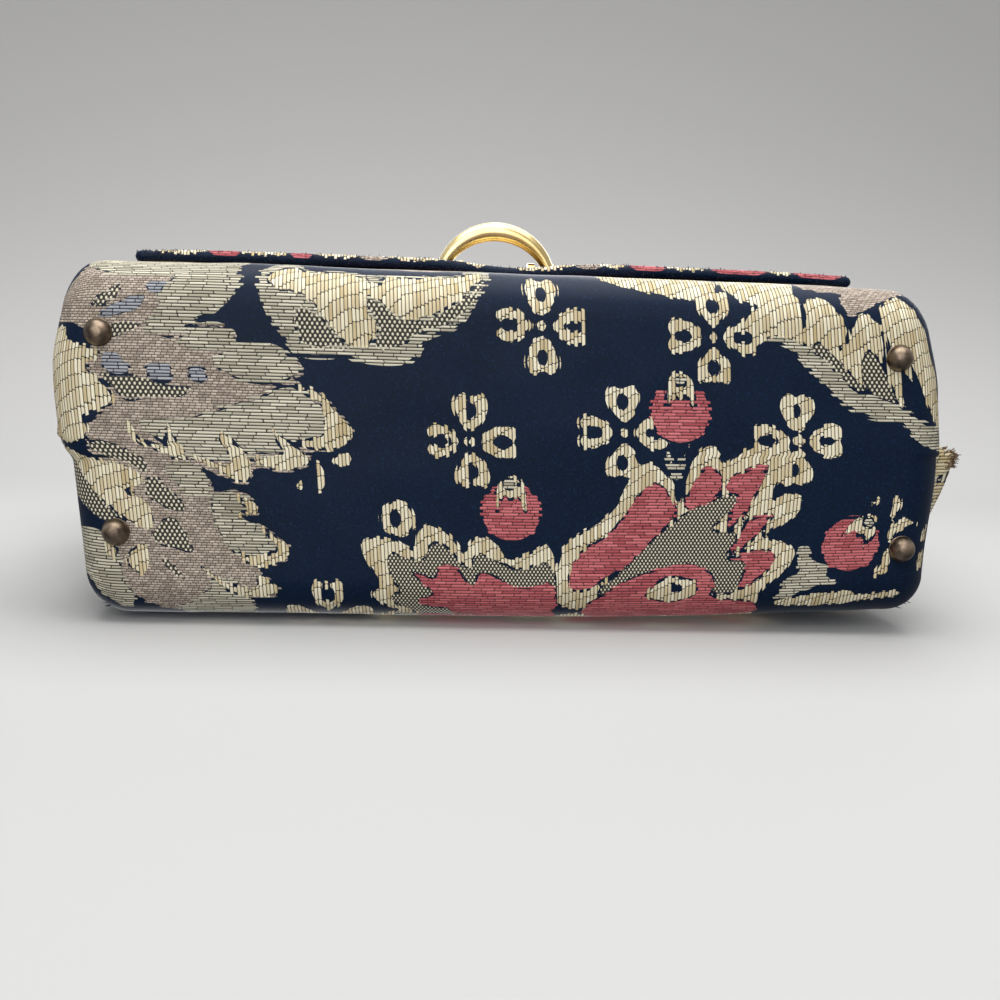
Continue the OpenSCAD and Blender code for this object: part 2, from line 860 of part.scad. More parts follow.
tapestry_wrap();
left_gusset();
right_gusset();
front_board();
back_board();
bottom_board();
lining();
inner_pocket();
flap_top_cover();
flap_top_board();
flap_top_lining();
flap_front_cover();
flap_front_board();
flap_front_lining();
slot_plate();
slot_back_plate();
clasp_base();
clasp_rivets();
clasp_back_plate();
clasp_bow();
foot_front_left();
foot_front_right();
foot_back_left();
foot_back_right();
foot_washers();
handle();
handle_loop_left();
handle_loop_right();
handle_tab_left();
handle_tab_right();
tab_rivets();
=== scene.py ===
import math
import random
import bmesh
import bpy
import numpy as np
from mathutils import Matrix, Vector, noise


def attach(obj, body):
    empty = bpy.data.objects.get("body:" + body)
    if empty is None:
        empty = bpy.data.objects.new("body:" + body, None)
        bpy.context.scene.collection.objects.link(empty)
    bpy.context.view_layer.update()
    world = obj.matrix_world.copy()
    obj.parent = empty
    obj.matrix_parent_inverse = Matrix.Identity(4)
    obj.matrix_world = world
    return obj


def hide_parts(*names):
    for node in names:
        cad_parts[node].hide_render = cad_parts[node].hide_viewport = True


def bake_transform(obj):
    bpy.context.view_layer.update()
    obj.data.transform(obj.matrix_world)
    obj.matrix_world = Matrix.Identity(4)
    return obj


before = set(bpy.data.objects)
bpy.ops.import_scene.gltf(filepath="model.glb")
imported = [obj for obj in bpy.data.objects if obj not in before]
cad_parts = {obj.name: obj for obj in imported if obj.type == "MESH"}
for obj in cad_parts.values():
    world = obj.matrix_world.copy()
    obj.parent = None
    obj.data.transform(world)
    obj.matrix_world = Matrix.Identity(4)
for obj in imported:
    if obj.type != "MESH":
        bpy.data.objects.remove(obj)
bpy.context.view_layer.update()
scene = bpy.context.scene
scene.view_settings.view_transform = "Standard"
dice = random.Random(17)
ops = bmesh.ops

# sizes of the bag in mm, as in the solids
bag = {"frontW": 209, "backW": 203, "bottomD": 81, "rimD": 78, "height": 166, "footH": 3.5,
       "round": 10, "borderW": 15, "sillH": 11.5}
lean = math.atan((bag["bottomD"] - bag["rimD"]) / 2 / bag["height"])
rimZ = bag["footH"] + bag["height"]
coreY = bag["bottomD"] / 2 - bag["round"]  # centre line of the bottom edges' rounding
coreZ = bag["footH"] + bag["round"]
flatU = (bag["frontW"] + bag["backW"]) / 4 - bag["round"]  # half of the cloth's flat width
wallL = (rimZ - coreZ - bag["round"] * math.sin(lean)) / math.cos(lean)
cornerL = bag["round"] * (math.pi / 2 + lean)


def rgba(code):
    # written sRGB colour to the linear one that shaders use
    parts = [int(code[k:k + 2], 16) / 255 for k in (0, 2, 4)]
    return tuple(c / 12.92 if c < 0.04045 else ((c + 0.055) / 1.055) ** 2.4 for c in parts) + (1,)


class Wire:
    # one socket of a node tree, so that shader maths reads as plain sums
    def __init__(self, tree, socket=None):
        self.tree, self.socket = tree, socket

    def make(self, kind, sockets=(), out=0, **settings):
        node = self.tree.nodes.new("ShaderNode" + kind)
        for key, value in settings.items():
            setattr(node, key, value)
        for key, value in dict(sockets).items():
            if isinstance(value, Wire):
                self.tree.links.new(value.socket, node.inputs[key])
            else:
                node.inputs[key].default_value = value
        return Wire(self.tree, node.outputs[out]) if node.outputs else None

    def sums(self, operation, *values):
        return self.make("Math", dict(enumerate(values)), operation=operation)

    def __add__(self, other): return self.sums("ADD", self, other)
    def __sub__(self, other): return self.sums("SUBTRACT", self, other)
    def __rsub__(self, other): return self.sums("SUBTRACT", other, self)
    def __mul__(self, other): return self.sums("MULTIPLY", self, other)
    def __truediv__(self, other): return self.sums("DIVIDE", self, other)
    def __gt__(self, other): return self.sums("GREATER_THAN", self, other)
    def floor(self): return self.sums("FLOOR", self)
    def fract(self): return self.sums("FRACT", self)
    def most(self, other): return self.sums("MAXIMUM", self, other)
    def wave(self): return self.fract() * 2 - 1  # -1 to 1 over each whole step

    def ridge(self):
        # rounded rise over each whole step
        wave = self.wave()
        return 1 - wave * wave

    def soft(self, low, high):
        return self.make("MapRange", {0: self, 1: low, 2: high, 3: 0.0, 4: 1.0}, interpolation_type="SMOOTHSTEP")

    def mix(self, first, second):
        # between two colours, each a written code or a wire
        first, second = [rgba(c) if isinstance(c, str) else c for c in (first, second)]
        return self.make("Mix", {0: self, 6: first, 7: second}, out=2, data_type="RGBA")

    def split(self):
        node = self.make("SeparateXYZ", {0: self}).socket.node
        return [Wire(self.tree, socket) for socket in node.outputs]

    def cloud(self, scale, detail):
        return self.make("TexNoise", {"Vector": self, "Scale": scale, "Detail": detail})


def newMaterial(name):
    mat = bpy.data.materials.new(name)
    mat.use_nodes = True
    mat.node_tree.nodes.clear()
    start = Wire(mat.node_tree)
    return mat, start, start.make("TexCoord", out="Object")


def finishMaterial(mat, start, sockets, height, bumpMm, strength):
    bump = start.make("Bump", {"Strength": strength, "Distance": bumpMm / 1000, "Height": height})
    surface = start.make("BsdfPrincipled", dict(sockets, Normal=bump))
    start.make("OutputMaterial", {"Surface": surface})
    return mat


def newObject(name, bm, materials, smooth=True):
    mesh = bpy.data.meshes.new(name)
    bm.to_mesh(mesh)
    bm.free()
    if smooth:
        mesh.shade_smooth()
    for material in materials:
        mesh.materials.append(material)
    made = bpy.data.objects.new(name, mesh)
    scene.collection.objects.link(made)
    return made


# camera and studio
view = {"place": (-0.0251, -0.02724, -0.29853), "lens": 46.8,
        "axes": ((0.996972, -0.023962, -0.073972), (-0.033196, -0.991444, -0.126243),
                 (-0.070314, 0.128316, -0.989238))}
camera = bpy.data.objects.new("camera", bpy.data.cameras.new("camera"))
scene.collection.objects.link(camera)
camera.data.lens = view["lens"]
camera.data.sensor_width = 36
camera.data.clip_start, camera.data.clip_end = 0.01, 20
camera.matrix_world = Matrix.Translation(view["place"]) @ Matrix(view["axes"]).to_4x4()
scene.camera = camera

# the backdrop's near and far colours are painted light, graded from darker near the bag to paler far above it
studio = {"backY": 0.0428, "nearZ": -1.2, "sweepZ": 0.35, "sweepR": 0.5, "wide": 3.0, "nearPaintedLightCol": "bdbdbc",
          "farPaintedLightCol": "e2e1e0", "farFrom": 0.25, "farTo": 0.65, "skyDark": "8f9094", "skyLight": "f4f4f4",
          "skyFrom": 0.35, "skyTo": -0.85,
          "worldPower": 0.3}
lamps = {  # place, target, size, watts
    "overhead": ((0.0, -0.42, 0.02), (0, -0.01, 0.01), 0.5, 3.0),
    "cameraSide": ((-0.15, -0.3, -0.75), (0, 0, 0.02), 0.8, 4.8),
    "top": ((0.3, -0.3, 1.3), (0, 0, 0.1), 1.1, 19),
    "back": ((-0.3, 0.95, 1.25), (0, 0, 0.11), 1.2, 8)}


def stageMaterial(name):
    # pale surface seen only from its front side, with painted light: darker near the bag and paler far above it
    mat, start, place = newMaterial(name)
    far = place.split()[2].soft(studio["farFrom"], studio["farTo"])
    shade = start.make("BsdfDiffuse", {"Color": far.mix(studio["nearPaintedLightCol"], studio["farPaintedLightCol"])})
    hidden = start.make("NewGeometry", out="Backfacing")
    both = start.make("MixShader", {0: hidden, 1: shade, 2: start.make("BsdfTransparent")})
    start.make("OutputMaterial", {"Surface": both})
    return mat


def stageSheet(name, profile, facing):
    # a strip of edges drawn along a profile in the YZ plane, its front side towards facing
    bm = bmesh.new()
    edge = bm.edges.new([bm.verts.new((x, *profile[0])) for x in (-studio["wide"], studio["wide"])])
    for here, there in zip(profile, profile[1:]):
        made = ops.extrude_edge_only(bm, edges=[edge])["geom"]
        fresh = [g for g in made if isinstance(g, bmesh.types.BMVert)]
        ops.translate(bm, verts=fresh, vec=(0, there[0] - here[0], there[1] - here[1]))
        edge = [g for g in made if isinstance(g, bmesh.types.BMEdge) and all(v in fresh for v in g.verts)][0]
    ops.recalc_face_normals(bm, faces=bm.faces)
    bm.faces.ensure_lookup_table()
    if bm.faces[0].normal.dot(Vector(facing)) < 0:
        ops.reverse_faces(bm, faces=bm.faces)
    strip = newObject(name, bm, [stageMaterial(name)])
    strip.visible_shadow = strip.visible_diffuse = strip.visible_glossy = False


backY, sweepZ, sweepR, wide = [studio[k] for k in ("backY", "sweepZ", "sweepR", "wide")]
curve = [(backY - sweepR + sweepR * math.cos(a), sweepZ + sweepR * math.sin(a))
         for a in [k * math.pi / 24 for k in range(13)]]
stageSheet("backdrop", [(backY, studio["nearZ"])] + curve + [(-wide, sweepZ + sweepR)], (0, -1, 0))
stageSheet("floor", [(-wide, 0.0), (wide, 0.0)], (0, 0, 1))

world = bpy.data.worlds.new("studio")
scene.world = world
world.use_nodes = True
world.node_tree.nodes.clear()
sky = Wire(world.node_tree)
rays = [sky.make("LightPath", out=k) for k in ("Is Camera Ray", "Is Glossy Ray", "Is Transmission Ray")]
seen = rays[0].most(rays[1]).most(rays[2])
glow = sky.make("Background", {"Color": (1, 1, 1, 1), "Strength": studio["worldPower"]})
heights = sky.make("TexCoord", out="Generated").split()[1]
# paler over the front
skyCol = heights.soft(studio["skyFrom"], studio["skyTo"]).mix(studio["skyDark"], studio["skyLight"])
shown = sky.make("Background", {"Color": skyCol, "Strength": 1.0})
sky.make("OutputWorld", {"Surface": sky.make("MixShader", {0: seen, 1: glow, 2: shown})})

for name, (place, target, size, watts) in lamps.items():
    lamp = bpy.data.objects.new(name, bpy.data.lights.new(name, "AREA"))
    lamp.data.size, lamp.data.energy = size, watts
    scene.collection.objects.link(lamp)
    lamp.location = place
    lamp.rotation_euler = (Vector(target) - Vector(place)).to_track_quat("-Z", "Y").to_euler()
print("camera and studio ready")

# brocade figures: each yarn and its outline in mm, x across the bag and y from front to back
figures = {
    "leafSpray": """
  taupe -103,-27 -103,-32 -100.5,-37 -96,-39.5 -88.5,-40.5 -75,-41 -58.5,-41 -61.5,-38 -59.5,-36.5 -63,-32 -67,-29
    -71,-28 -73.5,-25 -70,-26 -67,-27 -61.5,-25.5 -61.5,-23 -63,-21.5 -59.5,-23 -53.5,-22.5 -49,-20 -46.5,-17
    -50,-14.5 -43.5,-13.5 -40,-8.5 -35.5,-4 -40,0 -47.5,0 -47,3.5 -53,5.5 -60,3.5 -61,8 -64,8 -70.5,5 -74,2.5
    -72.5,5.5 -69.5,9 -72.5,11 -69.5,10.5 -63,10 -58.5,14.5 -64.5,16.5 -60.5,17 -56.5,20 -52,23.5 -56.5,27.5 -62,28.5
    -55,33 -58.5,35 -66.5,35 -62.5,36.5 -62.5,40 -75,40 -83.5,38.5 -89,36 -92.5,32.5 -93.5,27 -92.5,20.5 -87.5,14.5
    -88.5,8.5 -94,3.5 -96.5,-1 -94,-4 -88,-10 -93.5,-16 -92,-22.5 -95,-26.5
  sage -77.5,-30.5 -80,-34 -73,-38 -63.5,-40 -58.5,-41 -61.5,-38 -59.5,-36.5 -63,-32 -67,-29 -71,-28 -73,-25
    -77.5,-24 -82,-24.5 -80.5,-27.5
  sage -75,-23.5 -67.5,-27 -61.5,-25.5 -61.5,-23 -64.5,-21 -67,-22 -71.5,-22
  sage -64,-21 -59.5,-23 -53.5,-22.5 -49,-20 -46.5,-17 -51.5,-14.5 -57.5,-14 -63.5,-15.5 -67,-18.5
  sage -73,-6 -67,-8 -57.5,-11 -50.5,-14.5 -45.5,-12.5 -42,-8 -40,-4.5 -44,-2.5 -49,-1.5 -53,1.5 -59.5,1 -67,3.5
    -74.5,2 -85.5,-5.5
  sage -80.5,4 -74,3 -69.5,9 -72.5,11.5 -77.5,10
  sage -70.5,11 -63,10 -60.5,14 -64.5,16 -60.5,17.5 -57.5,20.5 -56,23 -60.5,26 -65.5,25.5 -68,22 -70.5,16.5
  sage -70,29 -65.5,32 -62.5,36.5 -62.5,40 -75,40 -83,38.5 -75,35.5
  sage -103,20 -96,19 -93,23.5 -92.5,30.5 -90,36 -92,38.5 -97,36.5 -101,32.5 -103,27
  dots -104,2.5 -100.5,4.5 -97,10.5 -91.5,16.5 -94,18.5 -99,15.5 -104,10
  cream -50.5,-14.5 -43.5,-13.5 -40,-8.5 -35.5,-4 -40,0 -47.5,0 -49.5,-2 -44,-3 -42,-5.5 -42.5,-8.5 -45,-11.5
  cream -55.5,-6.5 -53,-3 -48.5,0 -47,3.5 -53,5.5 -60,3.5 -59.5,1.5 -55,1.5 -52.5,1
  cream -67,-5 -63.5,-1.5 -60.5,2 -61,8 -64,8 -72.5,3 -74,2 -72.5,1.5 -67,4 -64.5,3.5
  cream -78.5,-6.5 -76.5,-3 -74.5,2.5 -76.5,3 -82,0.5 -84.5,-1.5 -81.5,-1 -77.5,0.5
  cream -86.5,-6.5 -84.5,-3 -82,0 -83.5,0.5 -85.5,-2.5
  cream -65.5,11 -63,10.5 -58.5,14.5 -64.5,16.5 -64.5,15.5 -61.5,14
  cream -60.5,17 -56.5,20 -52,23.5 -56.5,27.5 -62.5,28 -66,24 -62.5,25 -57,24.5 -56,23
  cream -62,28.5 -55,33 -58.5,35 -66.5,35 -72.5,30 -75,27 -70,30.5 -65.5,32.5 -61,32.5
  cream -103.5,-24 -102,-25.5 -99.5,-25.5 -99,-22.5 -91,-21 -91.5,-18.5 -94,-17 -90.5,-14 -88,-11 -88.5,-8.5
    -96.5,-6 -94,-4 -95.5,-1 -101,0 -103,-1.5 -104,-9
  cream -103,0 -100.5,1.5 -96.5,3.5 -90,3.5 -85,7.5 -88,10 -90.5,10.5 -85.5,12.5 -83.5,18 -86.5,19.5 -91.5,16.5
    -97,11 -100.5,5
  cream -91.5,26.5 -90,24 -86.5,22.5 -86,26 -87.5,30.5 -90.5,29
  cream -96,21.5 -93,23 -93,26 -95.5,27
  dots -96.5,-0.5 -90.5,-1 -83.5,3 -84.5,7 -88.5,4 -93.5,2.5
  dots -86.5,10 -83,6 -78.5,11 -75.5,15 -80.5,15
  dots -85.5,21.5 -82,16.5 -78.5,16.5 -76,22 -75.5,25 -80,23.5 -83,23
  dots -84.5,24 -80.5,27.5 -77,31.5 -81.5,29.5
  dots -94.5,-31 -87.5,-35.5 -87.5,-33 -92.5,-29.5
  dots -91,-24.5 -87.5,-27.5 -81,-26.5 -85.5,-24 -90,-23
  dots -92,-16.5 -87.5,-15 -82,-15.5 -77.5,-13 -70,-13 -75,-10.5 -82,-10.5 -85.5,-9.5 -88,-12.5
  blue -82,-35 -77,-36.5 -78.5,-33 -81.5,-33.5
  blue -93,-28 -88.5,-30.5 -84.5,-32.5 -81.5,-32.5 -83.5,-29.5 -90,-27.5
  blue -91,-18.5 -88.5,-20.5 -83.5,-17 -85,-15 -89,-15
  blue -82,-17.5 -75.5,-18.5 -75,-14 -80,-14
  blue -72.5,-17.5 -67.5,-17.5 -68,-14 -72,-14.5
  ground -83,-23.5 -77.5,-23.5 -73,-25 -70.5,-28 -69.5,-28 -72,-24.5 -77.5,-23 -83,-23
  ground -75,2.5 -72.5,5.5 -69.5,8.5 -72.5,7""",
    "shellLeaf": """
  sage -56.5,-37 -55,-39.5 -48.5,-40.5 -44.5,-39 -42,-39.5 -35.5,-39.5 -29.5,-38 -27.5,-39 -20.5,-38.5 -18.5,-39.5
    -12,-39 -7.5,-40.5 -3,-40 -5.5,-36.5 -8,-32 -12,-27.5 -19,-25 -21.5,-20.5 -26,-19 -34,-19.5 -37.5,-21.5
    -40.5,-20.5 -46.5,-20.5 -49.5,-22.5 -52.5,-27 -54,-29.5 -56,-33.5
  cream -55,-37.5 -48.5,-40 -44.5,-38.5 -42,-39 -35.5,-39 -29,-36 -27.5,-38.5 -20.5,-38 -18.5,-39 -12,-38.5 -7.5,-40
    -5,-39.5 -8.5,-36 -12.5,-31.5 -18,-29.5 -22.5,-28.5 -26.5,-30.5 -28.5,-32.5 -32.5,-34 -31.5,-30.5 -29,-27
    -32.5,-22 -37,-23.5 -42,-29 -44,-32 -48.5,-34.5 -52,-34
  dots -49,-30 -46,-31.5 -42,-29 -37.5,-23.5 -34.5,-21.5 -39.5,-22.5 -43.5,-21.5 -47,-23.5
  dots -32.5,-33.5 -28.5,-32.5 -23,-28 -16.5,-30 -9.5,-34 -5,-39 -5.5,-36.5 -8.5,-32.5 -12.5,-28.5 -21,-26
    -25.5,-22.5 -31,-22 -29,-26.5 -31.5,-30.5""",
    "acanthus": """
  cream 54.5,-28 53.5,-30.5 55,-33 57.5,-34.5 58,-36.5 62,-38 67,-37.5 69,-35 70,-37 74.5,-37 77.5,-33.5 80,-29
    81,-31 82.5,-34.5 85,-34 87.5,-31 87.5,-35 90,-37.5 94.5,-38.5 98,-35.5 99.5,-30.5 100.5,-21 102,-12 103.5,-6
    100.5,-7 96,-15.5 92.5,-20.5 90.5,-20.5 92.5,-10.5 88,-15.5 84.5,-16.5 79.5,-15 75.5,-19 72,-21 69,-24 65.5,-27
    61,-27.5 58.5,-26.5 57,-24.5
  dots 69,-25 72,-27.5 75.5,-23.5 79.5,-19 83.5,-16 78.5,-15.5 74,-19
  dots 81,-21 83.5,-26 86,-23 88.5,-17 90.5,-12 86,-13.5 82.5,-16.5
  sage 58.5,-27 62.5,-28 67,-27 71.5,-24 75,-20.5 78.5,-17 82.5,-14.8 87,-14.2 91,-12.5 95,-9 99.5,-7.5 104,-7.5
    104,-1 101,-1 97.5,-2.6 94.6,-4.2 92,-7.6 89.5,-9.2 84.4,-9.4 79.2,-11.2 74.6,-14.8 71.1,-18.7 67.6,-22.8 64,-26
  ground 68,-35 69,-35 69,-31 66,-28.5 65.5,-28.5 68,-31.5
  ground 78.5,-33 80.5,-29 76.5,-25 76,-25 79.5,-28.5
  ground 87.5,-31 89,-26 88,-20.5 87,-20.5 88,-26
  ground 92,-24 93,-24.5 96,-15.5 95.5,-15.5""",
    "bigFlower": """
  cream -36.5,21 -33.5,20 -29,20 -25,22.5 -23.5,23 -23,18.5 -20.5,16 -17,17.5 -14,20 -12,24 -10.5,20 -8,19 -4,21
    -1.5,25 3.5,23 9.5,20 10,39 -24,39.5 -32,36.5 -35.5,33.5 -31.5,31.5 -34,28 -36,24.5
  fine -30.5,23.5 -25.5,24.5 -22,26 -20,21 -16.5,21.5 -13.5,25.5 -11,27.5 -9,23 -5.5,24.5 1,28 9.5,24 10,39 -21,39.5
    -28.5,36.5 -30.5,34 -27,33 -30.5,28.5
  red -25.5,28 -22,28.5 -19.5,30 -18,26 -14,26.5 -12,30 -10,32 -9,27.5 -5,28.5 1,32.5 10,29.5 10,39 -14.5,39.5
    -16,37 -21,37 -24.5,35 -19,33.5 -22,31
  cream 9.5,23.5 15.5,18 19.5,16 23.5,12.5 25.5,8.5 28,4 31,1 34,1.5 37.5,6 39,12 40,6 42.5,-1 45,-3.5 48,-2 49.5,2
    52,-1 56.5,-3.5 60.5,-5.5 63.5,-3.5 64,0 62.5,5 60.5,10.5 64.5,8.5 69,9.5 68,12 66.5,14.5 62.5,17 59,19 64,20.5
    68,22.5 66.5,26.5 63,30 59.5,33 59.5,38.5 10,39
  red 12.5,27 17.5,21.5 23,18.5 27,12.5 31,7 33.5,6 37,9 39,14 36,16.5 32.5,20.5 27.5,26 13,34
  red 40,11.5 42.5,5.5 45.5,1.5 48,3 49,7 46,12 42,12.5
  red 49.5,6 53,3.5 59.5,1 59,4 57,8.5 55,13.5 50,18.5 51.5,13 53,8.5 50,8.5
  red 55.5,15 58.5,14 62,13.5 59.5,17 56,21 51,23.5 54.5,18
  red 49.5,25.5 56.5,22.5 64,23 61.5,27.5 58.5,30 54,32.5 56,26
  fine 19,32.5 26.5,27 30,23 35,18 39,15 42.5,12 49,9.5 53.5,8.5 51.5,13 47.5,16 47,18 54.5,18 49.5,25 56.5,25
    55,28.5 54,33 47.5,33.5 43,26.5 36.5,26.5 31.5,28 22.5,35
  red 16,36.5 26.5,29.5 32.5,27.5 40,25.5 45.5,26.5 49,29.5 46.5,34.5 57.5,35.5 60,37 59,39 16.5,39.5
  cream 31,33.5 33.5,30.5 38,28.5 41,29.5 44.5,30 44,33.5 39,35.5 33.5,35
  ground 37,31.5 38.5,30.5 40.5,31.5 39,33""",
    "sprigs": """
  cream -42.5,2.5 -40,0.5 -37,0.5 -37.5,3 -40,4
  cream -46.5,2.5 -44.5,2.5 -43,6 -44,9.5 -46.5,10 -46,6.5
  cream -51,8 -49.5,5.5 -48.5,8 -49,10 -51,9.5
  cream 84,12 86,9 87.5,9.5 86.5,12.5
  cream 89.5,9.5 92,9.5 92.5,12.5 90.5,15 89,16 90,12.5
  cream 89.5,18.5 91,16 95,14.5 98,17 94.5,17 91.5,19 92,21.5 90,21
  cream 89.5,23 91.5,23 92,27.5 89,30.5 86.5,29.5 89,27
  cream 100,17.5 101,17 101,21.5 99,21
  cream 98.5,27 100,23.5 101.5,24 101.5,27 99.5,29
  sage 68,22.5 71,21.5 72,26 77.5,27 75.5,29 79,31 72.5,32 67.5,34.5 62.5,35.5 65,32.5 66,29 69.5,28.5
  cream 62.5,36.5 67.5,34.5 83,33 83,34.5 96.5,33.5 96,35 83,37 70.5,37.5
  sage 32.5,-4.5 35,-4 37,-1 38,4.5 39,-1 42,-4 40,-0.5 39,5 37.5,5 36,0.5
  taupe -36,-43 -1,-43 -5,-40.9 -20,-39.9 -32,-40.6
  cream 20,-43 50,-43 48.5,-37 43,-35 36,-36 28,-37.5 22,-39
  cream 49.5,-43 68,-43 66.5,-37 60,-34.5 54,-35 50.5,-37.5
  sage -96,-43 -57,-43 -61.5,-38.5 -72,-37.5 -82,-36.8 -90,-37 -97,-39
  taupe 67,-43 97,-43 95,-39 88,-37 84.5,-34.5 82,-34 79.5,-33 78,-36.5 80,-38.8 71,-38.6""",
}


def readRows(text):
    # each name in the text with the groups of numbers that follow it
    rows = []
    for word in text.split():
        if "," in word:
            rows[-1][1].append([float(n) for n in word.split(",")])
        else:
            rows.append((word, []))
    return rows


def readFigure(text):
    return [(yarn, np.array(points)) for yarn, points in readRows(text)]


def ringOutline(x, y, rx, ry, count=14):
    turn = np.arange(count) * 2 * math.pi / count
    return np.stack([x + rx * np.cos(turn), y + ry * np.sin(turn)], 1)


def spinOf(degrees):
    c, s = math.cos(math.radians(degrees)), math.sin(math.radians(degrees))
    return np.array([[c, s], [-s, c]])


def blossomFigure():
    # four hollow heart-shaped petals round a small square
    petal = readFigure("cream 0,-2 1.9,-3.2 3.7,-6 4.2,-8.4 3.3,-10.4 1.5,-10.7 0,-9.6 -1.5,-10.7 -3.3,-10.4 "
                       "-4.2,-8.4 -3.7,-6 -1.9,-3.2") + [("ground", ringOutline(0, -6.9, 1.2, 2.0, 10))]
    rows = [(yarn, outline @ spinOf(90 * k)) for k in range(4) for yarn, outline in petal]
    return rows + [("cream", ringOutline(0, 0, 1.2, 1.2, 8))]


def berryFigure():
    crown = readFigure("cream -3.6,0.6 -3.4,-3 -3.2,-6.4 -1.8,-8.6 0,-9.2 1.8,-8.6 3.2,-6.4 3.4,-3 3.6,0.6 2.3,-2.4 "
                       "1.2,-4 0,-1.8 -1.2,-4 -2.3,-2.4")
    return [("red", ringOutline(0, 0, 7.1, 7.1, 22))] + crown + [("sage", ringOutline(0, -6.6, 1.5, 1.1, 8))]


figures = {key: readFigure(text) for key, text in figures.items()}
half = figures["bigFlower"]
figures["fullFlower"] = half + [(yarn, o * (1, -1) + (0, 76)) for yarn, o in half]
figures["blossom"], figures["berry"] = blossomFigure(), berryFigure()
centres = {"leafSpray": (-76, 0), "shellLeaf": (-30, -30), "acanthus": (80, -22), "fullFlower": (30, 38),
           "blossom": (0, 0), "berry": (0, 0)}


def placed(name, x, y, turn=0, mirror=1, size=1.0):
    # one figure moved about its own centre
    return [(yarn, ((o - centres[name]) * (mirror * size, size)) @ spinOf(turn) + (x, y))
            for yarn, o in figures[name]]


def unrolled(rows):
    # figures drawn on the bottom follow its rounded edges
    def flat(value, limit):
        past = np.clip((np.abs(value) - limit) / bag["round"], 0, 1)
        return np.where(np.abs(value) > limit, np.sign(value) * (limit + bag["round"] * np.arcsin(past)), value)
    return [(yarn, np.stack([flat(o[:, 0], flatU), flat(o[:, 1], coreY)], 1)) for yarn, o in rows]


# the cloth's layout: each figure's name and its places, with turn, mirror and size where they matter
layout = {
    "bottom": "blossom -9.5,-2.8 46.8,-27.3 66.2,-4.1 7.3,-28.6 25.7,-5.5 berry 38.9,-10.5 81.2,21.5,35 -0.7,13.5 "
              "blossom -45,41",
    "back": "fullFlower 4,134 leafSpray -66,168,20 70,120,0,-1 shellLeaf -52,84,200 acanthus 66,180,160 -78,112,0,-1 "
            "berry -14,84,180 -36,116,200 34,92,180 blossom 92,76 52,82 -22,180 28,182 -84,66 -30,100,45",
    "front": "leafSpray -66,-86 fullFlower 8,-98 acanthus 72,-70,20,-1 leafSpray 70,-150,180 shellLeaf -46,-150,180 "
             "berry 52,-102 -20,-62 blossom 40,-66 92,-104 -18,-178 24,-168",
    "flap": "fullFlower -2,42 leafSpray -72,56 74,58,0,-1 berry -34,88,180 36,88,180 blossom -34,12 36,12 -62,104 "
            "62,104 shellLeaf -30,-40 acanthus 40,-44,0,-1 blossom 0,-20 -78,-30 84,-28 acanthus 6,108,90,1,0.8 "
            "shellLeaf 0,-90 leafSpray -74,-62,270,1,0.8 berry 14,-66 leafSpray 74,-54,90,-1,0.8",
    "gusset": "acanthus 4,30,80 shellLeaf -2,84,90 acanthus -6,132,260 blossom 14,60 -14,108 shellLeaf 4,160,70"}
laid = {key: [row for name, spots in readRows(text) for spot in spots for row in placed(name, *spot)]
        for key, text in layout.items()}
woven = [row for key in ("leafSpray", "shellLeaf", "acanthus", "bigFlower", "sprigs") for row in figures[key]]
bud = [("cream", ringOutline(-27.6, 15.5, 4.2, 4.4)), ("ground", ringOutline(-27.6, 15.5, 1.2, 2.2))]
topOfFlower = 2 * (coreY + bag["round"] * math.asin(0.75))  # the cut flower goes on up the back
upperFlower = [(yarn, o * (1, -1) + (0, topOfFlower)) for yarn, o in unrolled(half)]
clothRows = laid["back"] + laid["front"] + upperFlower + unrolled(woven + laid["bottom"] + bud)
gussetRows = readFigure("cream -6,9 8,9 9,30 -5,32") + laid["gusset"]
print("brocade laid out")

yarns = ("cream", "sage", "red", "blue", "taupe", "dots", "fine")
clothLayers = ("clothPlace", "yarnsA", "yarnsB")
reach = 4.0  # mm of distance kept round each outline


def insideBy(u, v, outline):
    # signed distance to an outline, positive inside
    best = np.full(u.shape, 1e9)
    inside = np.zeros(u.shape, bool)
    for (ax, ay), (bx, by) in zip(outline, np.roll(outline, -1, axis=0)):
        ex, ey = bx - ax, by - ay
        along = np.clip(((u - ax) * ex + (v - ay) * ey) / (ex * ex + ey * ey + 1e-9), 0, 1)
        best = np.minimum(best, (u - ax - along * ex) ** 2 + (v - ay - along * ey) ** 2)
        if ay != by:
            inside ^= ((ay > v) != (by > v)) & (u < ex * (v - ay) / ey + ax)
    return np.where(inside, 1, -1) * np.sqrt(best)


def paintYarns(u, v, rows):
    # later figures lie over earlier ones, and each outline's corners are cut once
    fields = {yarn: np.full(u.shape, -reach) for yarn in yarns}
    for yarn, outline in rows:
        after = np.roll(outline, -1, axis=0)
        cut = np.concatenate([outline * 0.75 + after * 0.25, outline * 0.25 + after * 0.75], 1).reshape(-1, 2)
        low, high = cut.min(0) - reach, cut.max(0) + reach
        near = np.flatnonzero((u > low[0]) & (u < high[0]) & (v > low[1]) & (v < high[1]))
        if not len(near):
            continue
        depth = np.clip(insideBy(u[near], v[near], cut), -reach, reach)
        for key, field in fields.items():
            field[near] = np.maximum(field[near], depth) if key == yarn else np.minimum(field[near], -depth)
    return fields


